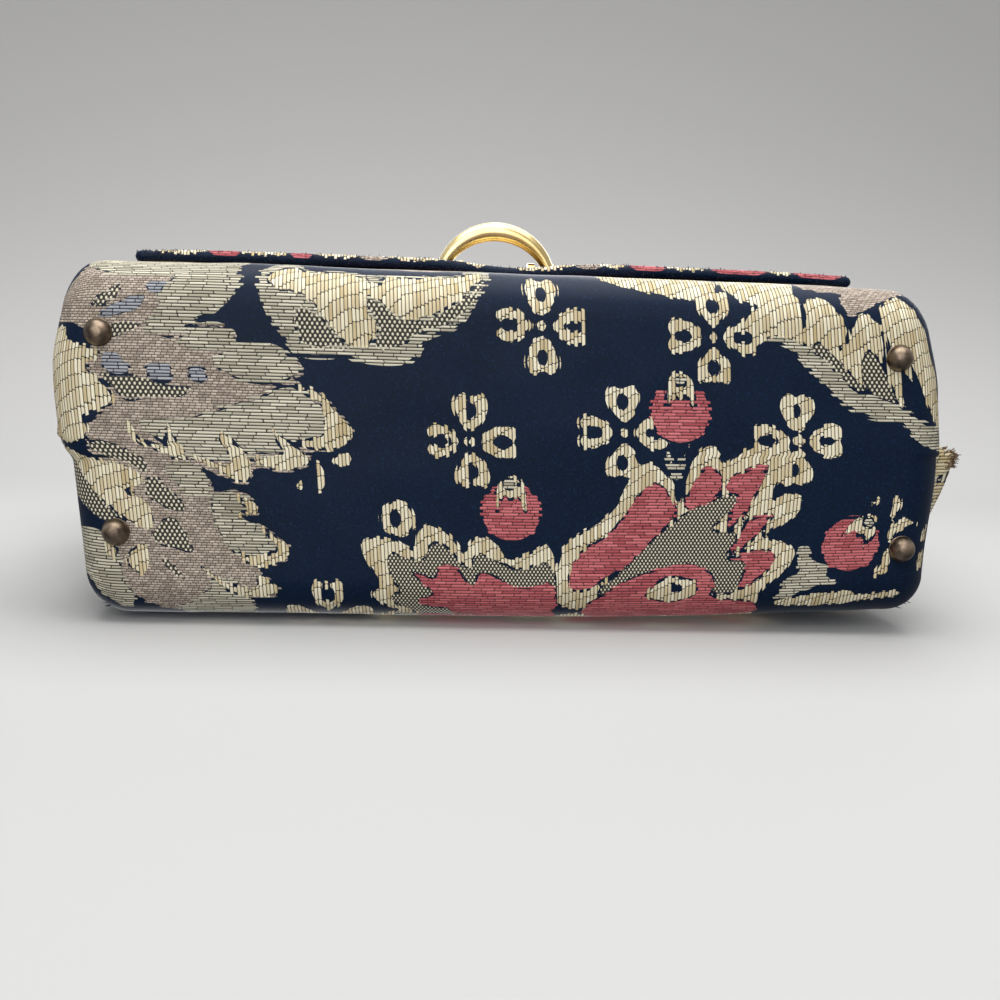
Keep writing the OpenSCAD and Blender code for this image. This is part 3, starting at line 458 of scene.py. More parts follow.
# finishes
weave = {  # pitch and float length in mm, lean of the ends from lane to lane, and their unevenness
    "warp": (0.86, 3.2, 0.13, 0.12), "weft": (0.72, 4.4, 0.29, 0.6), "rose": (0.72, 3.6, 0.43, 0.35),
    "dash": (0.6, 1.3, 0.36, 0.3), "cap": 0.6, "dotMm": 1.12, "fineDotMm": 0.9, "dotRow": 0.78, "dotTall": 0.62,
    "ribMm": 0.5, "grainMm": 0.36}
yarnRules = {  # threads, ragged ends in mm, where they end, soft sides of the floats, and height
    "taupe": ("dash", 1.0, -0.2, (0.1, 0.7), 0.6), "sage": ("weft", 1.4, -0.2, (0.28, 0.8), 0.8),
    "blue": ("weft", 1.0, 0.0, (0.28, 0.8), 0.8), "red": ("rose", 1.0, 0.0, (0.1, 0.55), 0.8),
    "cream": ("warp", 1.0, 0.1, (0.1, 0.58), 1.0)}
# gap and dashGap: the dark between floats and at their ends, partly the dark ground and partly painted shade
yarnCols = {"cream": ("b99f66", "fdf6dc"), "sage": ("8f8975", "e8e2cc"), "red": ("933b44", "d87c7f"),
            "blue": ("80838c", "b8bbc2"), "taupe": ("766a5f", "d2c3b4"), "navy": ("020a17", "0e2440"),
            "gap": "252427", "dashGap": "51473f", "dot": "e2dac3", "dotGround": "3a382f"}


def chance(start, *cells):
    # one fixed random number for each cell of threads
    if len(cells) == 1:
        return start.make("TexWhiteNoise", {"W": cells[0]}, noise_dimensions="1D")
    both = start.make("CombineXYZ", dict(enumerate(cells)))
    return start.make("TexWhiteNoise", {"Vector": both}, noise_dimensions="2D")


def threads(start, across, along, kind, drift):
    # round-ended floats in lanes: their height, one number for each lane and one for each float
    pitch, length, slope, jitter = weave[kind]
    lane = (across / pitch).floor()
    luck = chance(start, lane)
    run = along / length + lane * slope + luck * jitter + drift
    capL = weave["cap"] * pitch / length
    cap = ((start.sums("ABSOLUTE", run.wave()) - (1 - capL)) / capL).most(0.0)
    return (across / pitch).ridge() - cap * cap, luck, chance(start, lane, run.floor())


def specks(start, u, v, size):
    # raised dots in staggered rows
    row = v / (size * weave["dotRow"])
    x = (u / size + (row.floor() * 0.5).fract()).fract() - 0.5
    y = (row.fract() - 0.5) * weave["dotTall"]
    return 1 - start.sums("SQRT", x * x + y * y).soft(0.18, 0.31)


def tapestryMaterial():
    mat, start, place = newMaterial("tapestry")
    (u, v, fine), first, second = [start.make("Attribute", out="Vector", attribute_name=key).split()
                                   for key in clothLayers]
    inside = dict(zip(yarns, first + second + [fine]))
    cloud = place.cloud(45.0, 4.0)
    lanes = {"warp": threads(start, u, v, "warp", inside["cream"] * 0.1 + cloud * 1.5),
             "weft": threads(start, v, u, "weft", inside["sage"] * 0.1),
             "rose": threads(start, v, u, "rose", inside["red"] * 0.14),
             "dash": threads(start, v, u, "dash", 0.0)}
    satin = ((u - v * 0.8) / weave["ribMm"]).ridge()
    grain = chance(start, (u / weave["grainMm"]).floor(), (v / weave["grainMm"]).floor())
    dotted, fineDotted = [inside[key] + (grain - 0.5) * 0.5 > 0.1 for key in ("dots", "fine")]
    speck = (dotted * specks(start, u, v, weave["dotMm"])).most(fineDotted * specks(start, u, v, weave["fineDotMm"]))
    # navy ground: painted sheen, lighter on the twill ribs' crowns, with a random cloud and grain
    tone = satin * 0.2 + cloud * 0.4 + grain * grain * 0.3 + (grain > 0.97) * 0.7  # with a little lint
    colour = (dotted.most(fineDotted) * 0.85).mix(tone.mix(*yarnCols["navy"]), yarnCols["dotGround"])
    yarnOver, height = speck, speck * 0.7 + satin * 0.12
    for yarn, (kind, ragged, edge, sides, lift) in yarnRules.items():
        rise, luck, tint = lanes[kind]
        field = inside[yarn] + (luck - 0.5) * ragged > edge
        # each float's colour fades into the gap colour down its rounded sides and at its ends: painted shade, besides
        # the dark ground between threads
        floats = rise.soft(*sides)
        gap = yarnCols["dashGap" if yarn == "taupe" else "gap"]
        shade = (tint * 0.62 + cloud * 0.5).mix(*yarnCols[yarn])
        colour = field.mix(colour, floats.mix(gap, shade))
        yarnOver = field * floats + yarnOver
        height = field * rise * lift + height
    yarnOver = start.sums("MINIMUM", yarnOver, 1.0)
    return finishMaterial(mat, start, {
        "Base Color": speck.mix(colour, yarnCols["dot"]), "Roughness": yarnOver * 0.16 + 0.48,
        "Specular IOR Level": 0.07, "Coat Weight": (1 - yarnOver) * 0.08, "Coat Roughness": 0.34}, height, 0.25, 0.8)


def metalMaterial(name, dark, light, rough, cloudScale):
    # cast metal: clouded tone, fine rubbing marks and a soft worn bump
    mat, start, place = newMaterial(name)
    cloud = place.cloud(cloudScale, 5.0)
    rubbed = start.make("Mapping", {"Vector": place, "Scale": (300.0, 2400.0, 2400.0)}).cloud(1.0, 2.0)
    return finishMaterial(mat, start, {
        "Base Color": cloud.soft(0.25, 0.8).mix(dark, light), "Metallic": 1.0,
        "Roughness": cloud * 0.16 + rubbed * 0.1 + rough}, rubbed * 0.5 + cloud, 0.03, 0.35)


def leatherMaterial(name, dark, light):
    mat, start, place = newMaterial(name)
    grain = start.make("TexVoronoi", {"Vector": place, "Scale": 900.0}, out="Distance", feature="DISTANCE_TO_EDGE")
    cloud = place.cloud(60.0, 5.0)
    pebble = grain.soft(0.02, 0.22)
    # painted shade: the colour is darker in the crevices between the grain's pebbles, over a random cloud
    return finishMaterial(mat, start, {
        "Base Color": (pebble * 0.5 + cloud * 0.5).mix(dark, light), "Roughness": cloud * 0.2 + 0.36,
        "Specular IOR Level": 0.45}, pebble + cloud * 0.4, 0.12, 0.6)


def plainWeaveMaterial(name, dark, light, pitch, rough):
    # plain cloth: threads over and under on the object's own axes
    mat, start, place = newMaterial(name)
    x, y, z = [part * (1000 / pitch) for part in place.split()]
    one, two = x + y * 0.5, z + y * 0.5
    over = (one.floor() * 0.5 + two.floor() * 0.5).fract() * 2
    height = over * one.ridge() + (1 - over) * two.ridge()
    cloud = place.cloud(50.0, 4.0)
    # painted shade: the colour is darker where the threads dip and lighter on their crowns, over a random cloud
    return finishMaterial(mat, start, {
        "Base Color": (height * 0.4 + cloud * 0.6).mix(dark, light), "Roughness": cloud * 0.15 + rough},
        height, 0.1, 0.5)


def boardMaterial(name, dark, light):
    mat, start, place = newMaterial(name)
    fibre = place.cloud(700.0, 6.0)
    return finishMaterial(mat, start, {
        "Base Color": fibre.mix(dark, light), "Roughness": fibre * 0.1 + 0.8}, fibre, 0.1, 0.5)


finishes = {
    "tapestry": tapestryMaterial(),
    "brass": metalMaterial("brass", "b39b66", "e6d6a4", 0.12, 70.0),
    "bronze": metalMaterial("antiqueBronze", "4c423a", "94826f", 0.24, 420.0),
    "leather": leatherMaterial("handleLeather", "0c0c11", "24232a"),
    "lining": plainWeaveMaterial("liningCloth", "2a221d", "4a3d34", 0.55, 0.6),
    "board": boardMaterial("greyboard", "7c6a52", "a8967a"),
    "sewing": plainWeaveMaterial("sewingThread", "3a3733", "6b665d", 0.3, 0.7),
    "frayBrown": plainWeaveMaterial("frayedBacking", "4a3a2a", "7d6448", 0.4, 0.8),
    "fuzzDark": plainWeaveMaterial("darkFuzz", "0a0c14", "1d2030", 0.3, 0.8)}
nodeFinishes = {
    "brass": ("slot_plate", "slot_back_plate", "clasp_base", "clasp_rivets", "clasp_back_plate", "handle_loop_left",
              "handle_loop_right"),
    "bronze": ("tab_rivets", "foot_washers"), "board": ("flap_top_board", "flap_front_board")}
for finish, nodes in nodeFinishes.items():
    for node in nodes:
        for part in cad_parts[node].material_slots:
            part.material = finishes[finish]
print("finishes ready")


# mesh helpers
def finishPiece(name, bm, coats, body, replaced=(), smooth=True, inMm=False):
    if inMm:
        ops.scale(bm, verts=bm.verts, vec=(0.001, 0.001, 0.001))
    piece = newObject(name, bm, [finishes[coat] for coat in coats], smooth)
    if body:
        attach(piece, body)
    if replaced:
        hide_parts(*replaced)
    return piece


def bendTo(bm, points):
    for vert, point in zip(bm.verts, points):
        vert.co = point


def cutEdges(bm, edges, offset, segments):
    ops.bevel(bm, geom=edges, offset=offset, offset_type="OFFSET", segments=segments, profile=0.5,
              affect="EDGES", material=-1)


def sweep(bm, geom, centre, axis, angle, steps):
    whole = abs(angle) >= 2 * math.pi
    ops.spin(bm, geom=geom, cent=centre, axis=axis, dvec=(0, 0, 0), angle=angle, steps=steps,
             use_merge=whole, use_duplicate=False)


def addRod(bm, radius, depth, segments):
    rod = ops.create_cone(bm, cap_ends=True, segments=segments, radius1=radius, radius2=radius, depth=depth)["verts"]
    rims = {e for vert in rod for e in vert.link_edges if any(len(f.verts) > 4 for f in e.link_faces)}
    return rod, list(rims)


def mergeClose(bm, dist):
    ops.remove_doubles(bm, verts=bm.verts, dist=dist)
    ops.recalc_face_normals(bm, faces=bm.faces)


def faceTowards(bm, facing):
    ops.recalc_face_normals(bm, faces=bm.faces)
    if sum(face.normal.dot(Vector(facing)) * face.calc_area() for face in bm.faces) < 0:
        ops.reverse_faces(bm, faces=bm.faces)


def clothSheet(across, along, place, rows):
    # flat grid of threads, painted with yarns and then bent by place(u, v), all in mm
    bm = bmesh.new()
    ops.create_grid(bm, x_segments=len(across) - 1, y_segments=len(along) - 1, size=0.5)
    flat = np.array([vert.co for vert in bm.verts])
    u = across[np.rint((flat[:, 0] + 0.5) * (len(across) - 1)).astype(int)]
    v = along[np.rint((flat[:, 1] + 0.5) * (len(along) - 1)).astype(int)]
    fields = paintYarns(u, v, rows)
    columns = (u, v, fields["fine"]), [fields[k] for k in yarns[:3]], [fields[k] for k in yarns[3:6]]
    layers = [bm.verts.layers.float_vector.new(key) for key in clothLayers]
    for layer, column in zip(layers, columns):
        for vert, value in zip(bm.verts, np.stack(column, 1)):
            vert[layer] = value
    bendTo(bm, place(u, v) / 1000)
    return bm


def spaced(points, steps):
    # breakpoints joined by even steps
    parts = [np.linspace(a, b, max(2, int(round((b - a) / s)) + 1))[:-1]
             for a, b, s in zip(points, points[1:], steps)]
    return np.concatenate(parts + [np.array([points[-1]])])


def mirrored(points):
    return [-k for k in reversed(points)] + points


def ripple(points, scale, seed):
    return np.array([noise.noise(Vector(p) * scale + Vector((seed, 0, 0))) for p in points])


def eased(value, low, high):
    share = np.clip((value - low) / (high - low), 0, 1)
    return share * share * (3 - 2 * share)


settle = {"zone": (70, 10), "skew": 0.06, "wider": (0.011, 0.003), "bulge": 2.0, "bulgeY": 3, "bulgeW": 16,
          "foldStep": 1.8, "cornerIn": 3.4, "thinner": 0.045, "back": 0.7, "rightFront": 1.7, "frontOut": 1.9,
          "frontIn": 0.7}


def settled(points):
    # the handled bag's slight skew and fullness, strongest at the bottom
    x, y, z = points.T
    low = eased(z, *settle["zone"])
    right = np.clip((x + 20) / 110, 0, 1) ** 2
    left = np.clip((-x - 60) / 40, 0, 1)
    front = np.clip(-y / 34, 0, 1)
    step = eased(y, 4.6, 1.0) * eased(y, -36, -8)  # the left end stands out in front of its fold
    corner = eased(y, -16, -38) * (x / 100) ** 3  # rounder front corners
    bulge = right * np.exp(-((y - settle["bulgeY"]) / settle["bulgeW"]) ** 2)
    out = (settle["skew"] * y + np.where(y < 0, *settle["wider"]) * x + settle["bulge"] * bulge
           - settle["foldStep"] * left * step - settle["cornerIn"] * corner)
    fullness = settle["frontOut"] - settle["frontIn"] * np.abs(x / 105) ** 4
    back = settle["back"] - settle["rightFront"] * right - front * fullness
    return np.stack([x + low * out, y * (1 - settle["thinner"] * low * right) + low * back, z], 1)


# tapestry wrap: front, bottom and back in one sheet, drawn round the ends
wrap = {"hem": 0.6, "hemL": 5, "puff": 0.45, "pillow": 0.7, "pillowU": 100, "pillowV": 40, "endBorder": 5,
        "sillBorder": 0.3, "sillIn": 0.3, "easeL": 3}


def wrapPlace(u, v):
    r, hem = bag["round"], wrap["hem"]
    side, run = np.sign(v), np.abs(v)
    arc = np.clip((run - coreY) / r, 0, math.pi / 2 + lean)
    climb = np.clip(run - coreY - cornerL, 0, wallL - hem)
    past = np.clip(run - coreY - cornerL - wallL + hem, 0, None)  # over the rim and down inside
    roll = np.clip(past / hem, 0, math.pi)
    rise = climb + hem * np.sin(roll) - np.clip(past - hem * math.pi, 0, None)
    thick = r - hem + hem * np.cos(roll)
    y = side * (np.minimum(run, coreY) - rise * math.sin(lean))
    z = coreZ + rise * math.cos(lean)
    share = np.clip((y / coreY + 1) / 2, 0, 1)
    halfFlat = (bag["frontW"] + (bag["backW"] - bag["frontW"]) * share) / 2 - r
    edge = np.abs(u) - flatU
    turn = np.clip(edge / r, 0, math.pi / 2)
    border = np.clip(edge - r * math.pi / 2, 0, None)  # flat border on the bag's ends
    onBottom = np.clip((coreY - run) / wrap["easeL"], 0, 1)
    keep = np.where(run < coreY, wrap["sillBorder"] * onBottom, np.clip(climb / wrap["easeL"], 0, 1))
    across = np.minimum(np.abs(u), flatU) / flatU * halfFlat + r * np.sin(turn)
    x = np.sign(u) * (across - wrap["sillIn"] * onBottom * (border > 0))
    flat = np.stack([u, v, 0 * u], 1)
    soft = ripple(flat, 0.035, 3.0) * 0.7 + ripple(flat, 0.09, 8.0) * 0.3
    middle = np.clip(1 - (u / wrap["pillowU"]) ** 2, 0, 1) * np.clip(1 - (v / wrap["pillowV"]) ** 2, 0, 1)
    full = (wrap["puff"] * soft + wrap["pillow"] * middle) * np.cos(turn) * (past == 0)
    lift = thick * np.cos(turn) - border * keep + full
    return np.stack([x, y + lift * side * np.sin(arc), z - lift * np.cos(arc)], 1)


endU = flatU + bag["round"] * math.pi / 2
rimV = coreY + cornerL + wallL - wrap["hem"]
hemV = rimV + wrap["hem"] * math.pi
wrapU = spaced(mirrored([flatU, endU, endU + wrap["endBorder"]]), [1.7, 1.1, 0.95, 1.1, 1.7])
wrapV = spaced(mirrored([coreY, coreY + cornerL, rimV, hemV, hemV + wrap["hemL"]]),
               [2.5, 0.63, 1.5, 0.85, 0.85, 0.85, 1.5, 0.63, 2.5])
bm = clothSheet(wrapU, wrapV, lambda u, v: settled(wrapPlace(u, v)), clothRows)
ops.remove_doubles(bm, verts=bm.verts, dist=1e-6)
ops.reverse_faces(bm, faces=bm.faces)
wrapCloth = finishPiece("wrap_cloth", bm, ["tapestry"], "bag", ["tapestry_wrap"])
print("wrap sewn", len(wrapCloth.data.polygons))

# boards under the wrap, bent as the cloth is
for word in ("front_board", "bottom_board", "back_board"):
    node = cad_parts[word]
    bm = bmesh.new()
    bm.from_mesh(node.data)
    ops.transform(bm, matrix=node.matrix_world, verts=bm.verts)
    ops.remove_doubles(bm, verts=bm.verts, dist=1e-6)
    ops.subdivide_edges(bm, edges=[e for e in bm.edges if e.calc_length() > 0.02], cuts=9, use_grid_fill=True)
    bendTo(bm, settled(np.array([vert.co for vert in bm.verts]) * 1000) / 1000)
    finishPiece(word + "_bent", bm, ["board"], "bag", [word], smooth=False)

# lining: one cup of cloth inside the boards, open at the top
cup = {"inset": 4.1, "drop": 2, "round": 6, "cuts": 40, "puff": 0.5}
bm = bmesh.new()
ops.create_cube(bm, size=2)
ops.delete(bm, geom=[face for face in bm.faces if face.normal.z > 0.5], context="FACES")
for vert in bm.verts:
    halfW = (bag["frontW"] if vert.co.y < 0 else bag["backW"]) / 2 - cup["inset"]
    halfD = (bag["bottomD"] if vert.co.z < 0 else bag["rimD"]) / 2 - cup["inset"]
    level = bag["footH"] + cup["inset"] if vert.co.z < 0 else rimZ - cup["drop"]
    vert.co = Vector((vert.co.x * halfW, vert.co.y * halfD, level))
cutEdges(bm, [e for e in bm.edges if not e.is_boundary], cup["round"], 5)
ops.subdivide_edges(bm, edges=[e for e in bm.edges if e.calc_length() > 20], cuts=cup["cuts"], use_grid_fill=True)
ops.recalc_face_normals(bm, faces=bm.faces)
bm.normal_update()
points = np.array([vert.co for vert in bm.verts])
inwards = -np.array([vert.normal for vert in bm.verts])
bendTo(bm, settled(points + inwards * cup["puff"] * (1 + ripple(points, 0.05, 50.0))[:, None]) / 1000)
ops.reverse_faces(bm, faces=bm.faces)
liningCup = finishPiece("lining_cloth", bm, ["lining"], "bag", ["lining"])
print("boards and lining set")

# gussets: creased cloth panels that fill the ends
gusset = {"half": 25.4, "tuck": 4, "mid": 6, "top": 2.5, "drop": 5, "edge": -1.5, "blunt": 0.004, "pleatUp": 70,
          "puff": 0.5, "denseL": 6}
gussetSides = {-1: {"word": "left", "low": 3.5, "pleat": 0, "from": 0, "rise": 6},
               1: {"word": "right", "low": 6.4, "pleat": 0.85, "from": -3.6, "rise": 3.4}}
sillZ = bag["footH"] + bag["sillH"]
gussetTop = rimZ - gusset["drop"]


def gussetPlace(side, u, v):
    own, rim, top = gussetSides[side], gusset["edge"], gusset["top"]
    face = bag["bottomD"] / 2 - (v - coreZ) * math.tan(lean)
    mouth = face - bag["borderW"]
    y = u / gusset["half"] * mouth
    low, rise, foot = own["low"], own["rise"], sillZ + own["from"]
    share = np.clip((v - foot - rise) / (gussetTop - foot - rise), 0, 1)
    crease = low * (1 - share) + top * share + (gusset["mid"] - (low + top) / 2) * np.sin(math.pi * share)
    start = np.clip((v - foot) / rise, 0, 1)
    crease = rim + (crease - rim) * start
    ahead = mouth * (1 - own["pleat"] * eased(v, sillZ + gusset["pleatUp"], sillZ))  # steep front half of the pleat
    across = 1 - np.sqrt((y / np.where(y < 0, ahead, mouth)) ** 2 + gusset["blunt"])
    out = rim + (crease - rim) * np.clip(across, 0, 1)
    halfW = (bag["frontW"] + (bag["backW"] - bag["frontW"]) * (y / (face - bag["round"]) + 1) / 2) / 2
    soft = ripple(np.stack([u, v, 0 * u], 1), 0.06, 20.0 * side)
    return settled(np.stack([side * (halfW + out + gusset["puff"] * soft * start), y, v], 1))


gussetU = spaced(mirrored([gusset["half"], gusset["half"] + gusset["tuck"]]), [1.3, 0.95, 1.3])
gussetV = spaced([sillZ - gusset["tuck"], sillZ + gusset["denseL"], gussetTop], [0.9, 1.5])
for side, own in gussetSides.items():
    bm = clothSheet(gussetU, gussetV, lambda u, v: gussetPlace(side, u, v), gussetRows)
    if side < 0:
        ops.reverse_faces(bm, faces=bm.faces)
    panel = finishPiece(own["word"] + "_gusset_cloth", bm, ["tapestry"], "bag", [own["word"] + "_gusset"])
print("gussets sewn")

# flap: one sheet from the tail on the back, over the top, down the front and round its edges
flap = {"w": 198, "r": 1.5, "foldY": -42.77466, "foldZ": 171.3, "tailY": 38.97, "dropL": 107.804, "tailL": 14,
        "tailIn": 0.3, "sideHem": 6, "endHem": 8, "lip": 2.2, "lipFrom": 95, "lipHem": 4, "slotUp": 22,
        "slotHalf": (20.4, 5.8), "puff": 0.25, "bandIn": 2.5, "bandOut": (1.9, 1.7), "bandEnd": 0.6}
flapTurn = math.pi / 2 - lean
foldL = flap["r"] * flapTurn
stripL = flap["tailY"] - flap["foldY"]
dropEnd = flap["dropL"] - flap["r"]
rollL = flap["r"] * math.pi
sideEnd = flap["w"] / 2 - flap["r"]


def flapPlace(u, v):
    r = flap["r"]
    # along the path: drop, front fold, strip, back fold, tail
    down = np.clip(v, 0, dropEnd)
    endTurn = np.clip((v - dropEnd) / r, 0, math.pi)
    hem = np.clip(v - dropEnd - rollL, 0, None)
    front = np.clip((v + foldL) / r, 0, flapTurn)
    back = np.clip(-(v + foldL + stripL) / r, 0, flapTurn)
    tail = np.clip(-(v + 2 * foldL + stripL), 0, None)
    onStrip = np.clip(v + foldL + stripL, 0, stripL)
    y = flap["tailY"] - onStrip + (tail - down + hem) * math.sin(lean)
    z = flap["foldZ"] - (down - hem + tail) * math.cos(lean)
    angle = front + endTurn  # 0 up, 90 towards the front
    outY = -np.sin(angle) + np.sin(back)
    outZ = np.where(back > 0, np.cos(back), np.cos(angle))
    edge = np.abs(u) - sideEnd
    atEnd = v > dropEnd
    turn = np.clip(edge / r, 0, np.where(atEnd, math.pi / 2, math.pi))
    sideHem = np.where(atEnd, 0, np.clip(edge - rollL, 0, None))
    x = np.sign(u) * (np.minimum(np.abs(u), sideEnd) + r * np.sin(turn) - sideHem)
    lift = r * np.cos(turn)
    lift = np.where(tail + back > 0, np.maximum(lift, flap["tailIn"]), lift)
    soft = ripple(np.stack([u, v, 0 * u], 1), 0.045, 31.0)
    lift = lift + flap["puff"] * soft * np.cos(np.minimum(turn, math.pi / 2)) * (endTurn == 0)
    # the worn lower edge curls outwards, least under the clasp
    curl = np.clip((down - flap["lipFrom"]) / (dropEnd - flap["lipFrom"]), 0, 1) ** 2 * (hem < flap["lipHem"])
    lip = flap["lip"] * (1 - 0.8 * np.exp(-((u - 4) / 14) ** 2) - 0.4 * np.abs(np.clip(u / 99, -1, 1)) ** 6)
    return np.stack([x, y + lift * outY - curl * lip, z + lift * outZ], 1)


flapU = spaced(mirrored([sideEnd, sideEnd + rollL, sideEnd + rollL + flap["sideHem"]]), [3, 0.8, 1.15, 0.8, 3])
flapV = spaced([-2 * foldL - stripL - flap["tailL"], -2 * foldL - stripL, -foldL - stripL, -foldL, 0, dropEnd,
                dropEnd + rollL, dropEnd + rollL + flap["endHem"]], [1.6, 0.6, 1.5, 0.5, 1.15, 0.6, 2.5])
# the drop's lower edge: plain ground behind, and short lengths of yarn along it
bandTop, bandEnd = dropEnd - flap["bandIn"], dropEnd + flap["bandEnd"]
edgeBand = [("ground", np.array([(-120, bandEnd), (120, bandEnd), (120, 130), (-120, 130)], float))]
edgeFigures = readFigure("cream -94,-79 red -80,-70 cream -71,-57 red -58,-51 cream -52,-38 taupe -39,-31 "
                         "cream -32,-15 cream -10,-4 cream 3,22 taupe 21,28 cream 27,36 red 35,47 cream 46,58 "
                         "red 57,76 cream 75,82 red 81,97")
for yarn, ((first, last),) in edgeFigures:
    ends = [dropEnd + out for out in flap["bandOut"]]
    edgeBand.append((yarn, np.array([(first, bandTop), (last, bandTop), (last, ends[0]), (first, ends[1])], float)))


def cutSlot(bm, spotOf, slotV):
    # the clasp's opening, where spotOf gives each face's place on the flat cloth
    hole = []
    for face in bm.faces:
        spot = spotOf(face)
        if abs(spot[0]) < flap["slotHalf"][0] and abs(spot[1] - slotV) < flap["slotHalf"][1]:
            hole.append(face)
    ops.delete(bm, geom=hole, context="FACES")


bm = clothSheet(flapU, flapV, flapPlace, laid["flap"] + edgeBand)
spots = bm.verts.layers.float_vector["clothPlace"]
cutSlot(bm, lambda face: sum((vert[spots] for vert in face.verts), Vector()) / len(face.verts),
        flap["dropL"] - flap["slotUp"])
ops.remove_doubles(bm, verts=bm.verts, dist=1e-6)
ops.reverse_faces(bm, faces=bm.faces)
flapCloth = finishPiece("flap_cloth", bm, ["tapestry"], None, ["flap_top_cover", "flap_front_cover"])
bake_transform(flapCloth)
print("flap sewn", len(flapCloth.data.polygons))

# worn edges: hairs along the flap's edge, a tuft on the right pleat, loose ends at the back corners
fray = {"flapHairs": 900, "cornerHairs": 120, "flapU": (-98, 98), "cornerU": (-99, -88), "flapTurn": (0.25, 2.6),
        "flapL": (0.3, 0.8), "flapD": (0.16, 0.26), "tuftHairs": 80, "tuftU": (-2, 3), "tuftUp": (-1.5, 2),
        "tuftL": (0.8, 1.9), "tuftD": (0.25, 0.45), "looseEnds": 3, "looseU": (-6, 2), "looseV": (8, 13),
        "looseL": (1.2, 2.6), "looseD": (0.2, 0.3)}


def drawn(key):
    return dice.uniform(*fray[key])


def addHair(bm, place, u, v, heading, length, thick):
    # a tapered thread that stands on the cloth at u, v
    root = place(np.array([u]), np.array([v]))[0]
    turn = Vector(heading).to_track_quat("Z", "Y").to_matrix().to_4x4()
    stand = Matrix.Translation(Vector(root) / 1000) @ turn @ Matrix.Translation((0, 0, length / 2500))
    ops.create_cone(bm, cap_ends=True, segments=4, radius1=thick / 2000, radius2=thick / 6000, depth=length / 1000,
                    matrix=stand)


bm = bmesh.new()
for k in range(fray["flapHairs"] + fray["cornerHairs"]):
    u, angle = drawn("flapU" if k < fray["flapHairs"] else "cornerU"), drawn("flapTurn")
    heading = (dice.uniform(-0.9, 0.9), dice.uniform(-0.5, 0.5) - math.cos(angle),
               dice.uniform(-0.5, 0.5) - math.sin(angle))
    addHair(bm, flapPlace, u, dropEnd + flap["r"] * angle, heading, drawn("flapL"), drawn("flapD"))
finishPiece("flap_edge_fray", bm, ["fuzzDark"], "flap", smooth=False)
bm = bmesh.new()
for k in range(fray["tuftHairs"]):
    u, v = drawn("tuftU"), sillZ + drawn("tuftUp")
    heading = (dice.uniform(0.3, 1.2), dice.uniform(-0.9, 0.5), dice.uniform(-0.9, 0.3))
    addHair(bm, lambda u, v: gussetPlace(1, u, v), u, v, heading, drawn("tuftL"), drawn("tuftD"))
finishPiece("right_pleat_fray", bm, ["frayBrown"], "bag", smooth=False)
bm = bmesh.new()
for corner in (-1, 1):
    for k in range(fray["looseEnds"]):
        u, v = corner * (flatU - drawn("looseU")), coreY + drawn("looseV")
        heading = (corner * dice.uniform(0.6, 1), dice.uniform(0.1, 0.5), dice.uniform(-0.6, 0.1))
        addHair(bm, lambda u, v: settled(wrapPlace(u, v)), u, v, heading, drawn("looseL"), drawn("looseD"))
finishPiece("back_corner_fray", bm, ["fuzzDark"], "bag", smooth=False)
print("worn edges frayed")

# lining cut flat: behind the drop, under the top strip, and the pocket on the back wall
panels = {"drop": (188, 94), "strip": (194, 76), "pocket": (123, 77), "dropMid": 54, "dropIn": 0.32,
          "stripMid": (-1, 170.2), "stripIn": 0.35, "pocketMid": (35.2, 82.5), "stand": 1.8}


def dropPlace(u, v, edge, soft):
    depth, down = flap["r"] + panels["dropIn"] * edge + 0.1 * soft, v + panels["dropMid"]
    return (u, flap["foldY"] - down * math.sin(lean) + depth * math.cos(lean),
            flap["foldZ"] - down * math.cos(lean) - depth * math.sin(lean))


def stripPlace(u, v, edge, soft):
    midY, z = panels["stripMid"]
    return u, v + midY, z - panels["stripIn"] * edge + 0.1 * soft


def pocketPlace(u, v, edge, soft):
    footY, midZ = panels["pocketMid"]
    y = footY - (v + panels["pocket"][1] / 2) * math.tan(lean) - panels["stand"] * edge + 0.2 * soft
    return settled(np.array([[u, y, v + midZ]]))[0]


def liningPanel(name, key, place, facing, body, node):
    width, length = panels[key]
    bm = bmesh.new()
    ops.create_grid(bm, x_segments=width // 2, y_segments=length // 2, size=0.5)
    ops.scale(bm, verts=bm.verts, vec=(width, length, 1))
    if key == "drop":
        cutSlot(bm, lambda face: face.calc_center_median(), flap["dropL"] - flap["slotUp"] - panels["dropMid"])
    for vert in bm.verts:
        u, v = vert.co.x, vert.co.y
        edge = min(1, min(width / 2 - abs(u), length / 2 - abs(v)) / 2)
        vert.co = Vector(place(u, v, edge, noise.noise(Vector((u, v, 4)) * 0.08))) / 1000
    faceTowards(bm, facing)
    panel = finishPiece(name, bm, ["lining"], body, [node])


liningPanel("flap_lining_cloth", "drop", dropPlace, (0, 1, 0), "flap", "flap_front_lining")
liningPanel("top_lining_cloth", "strip", stripPlace, (0, 0, -1), "bag", "flap_top_lining")
liningPanel("pocket_cloth", "pocket", pocketPlace, (0, -1, 0), "bag", "inner_pocket")
print("linings cut")

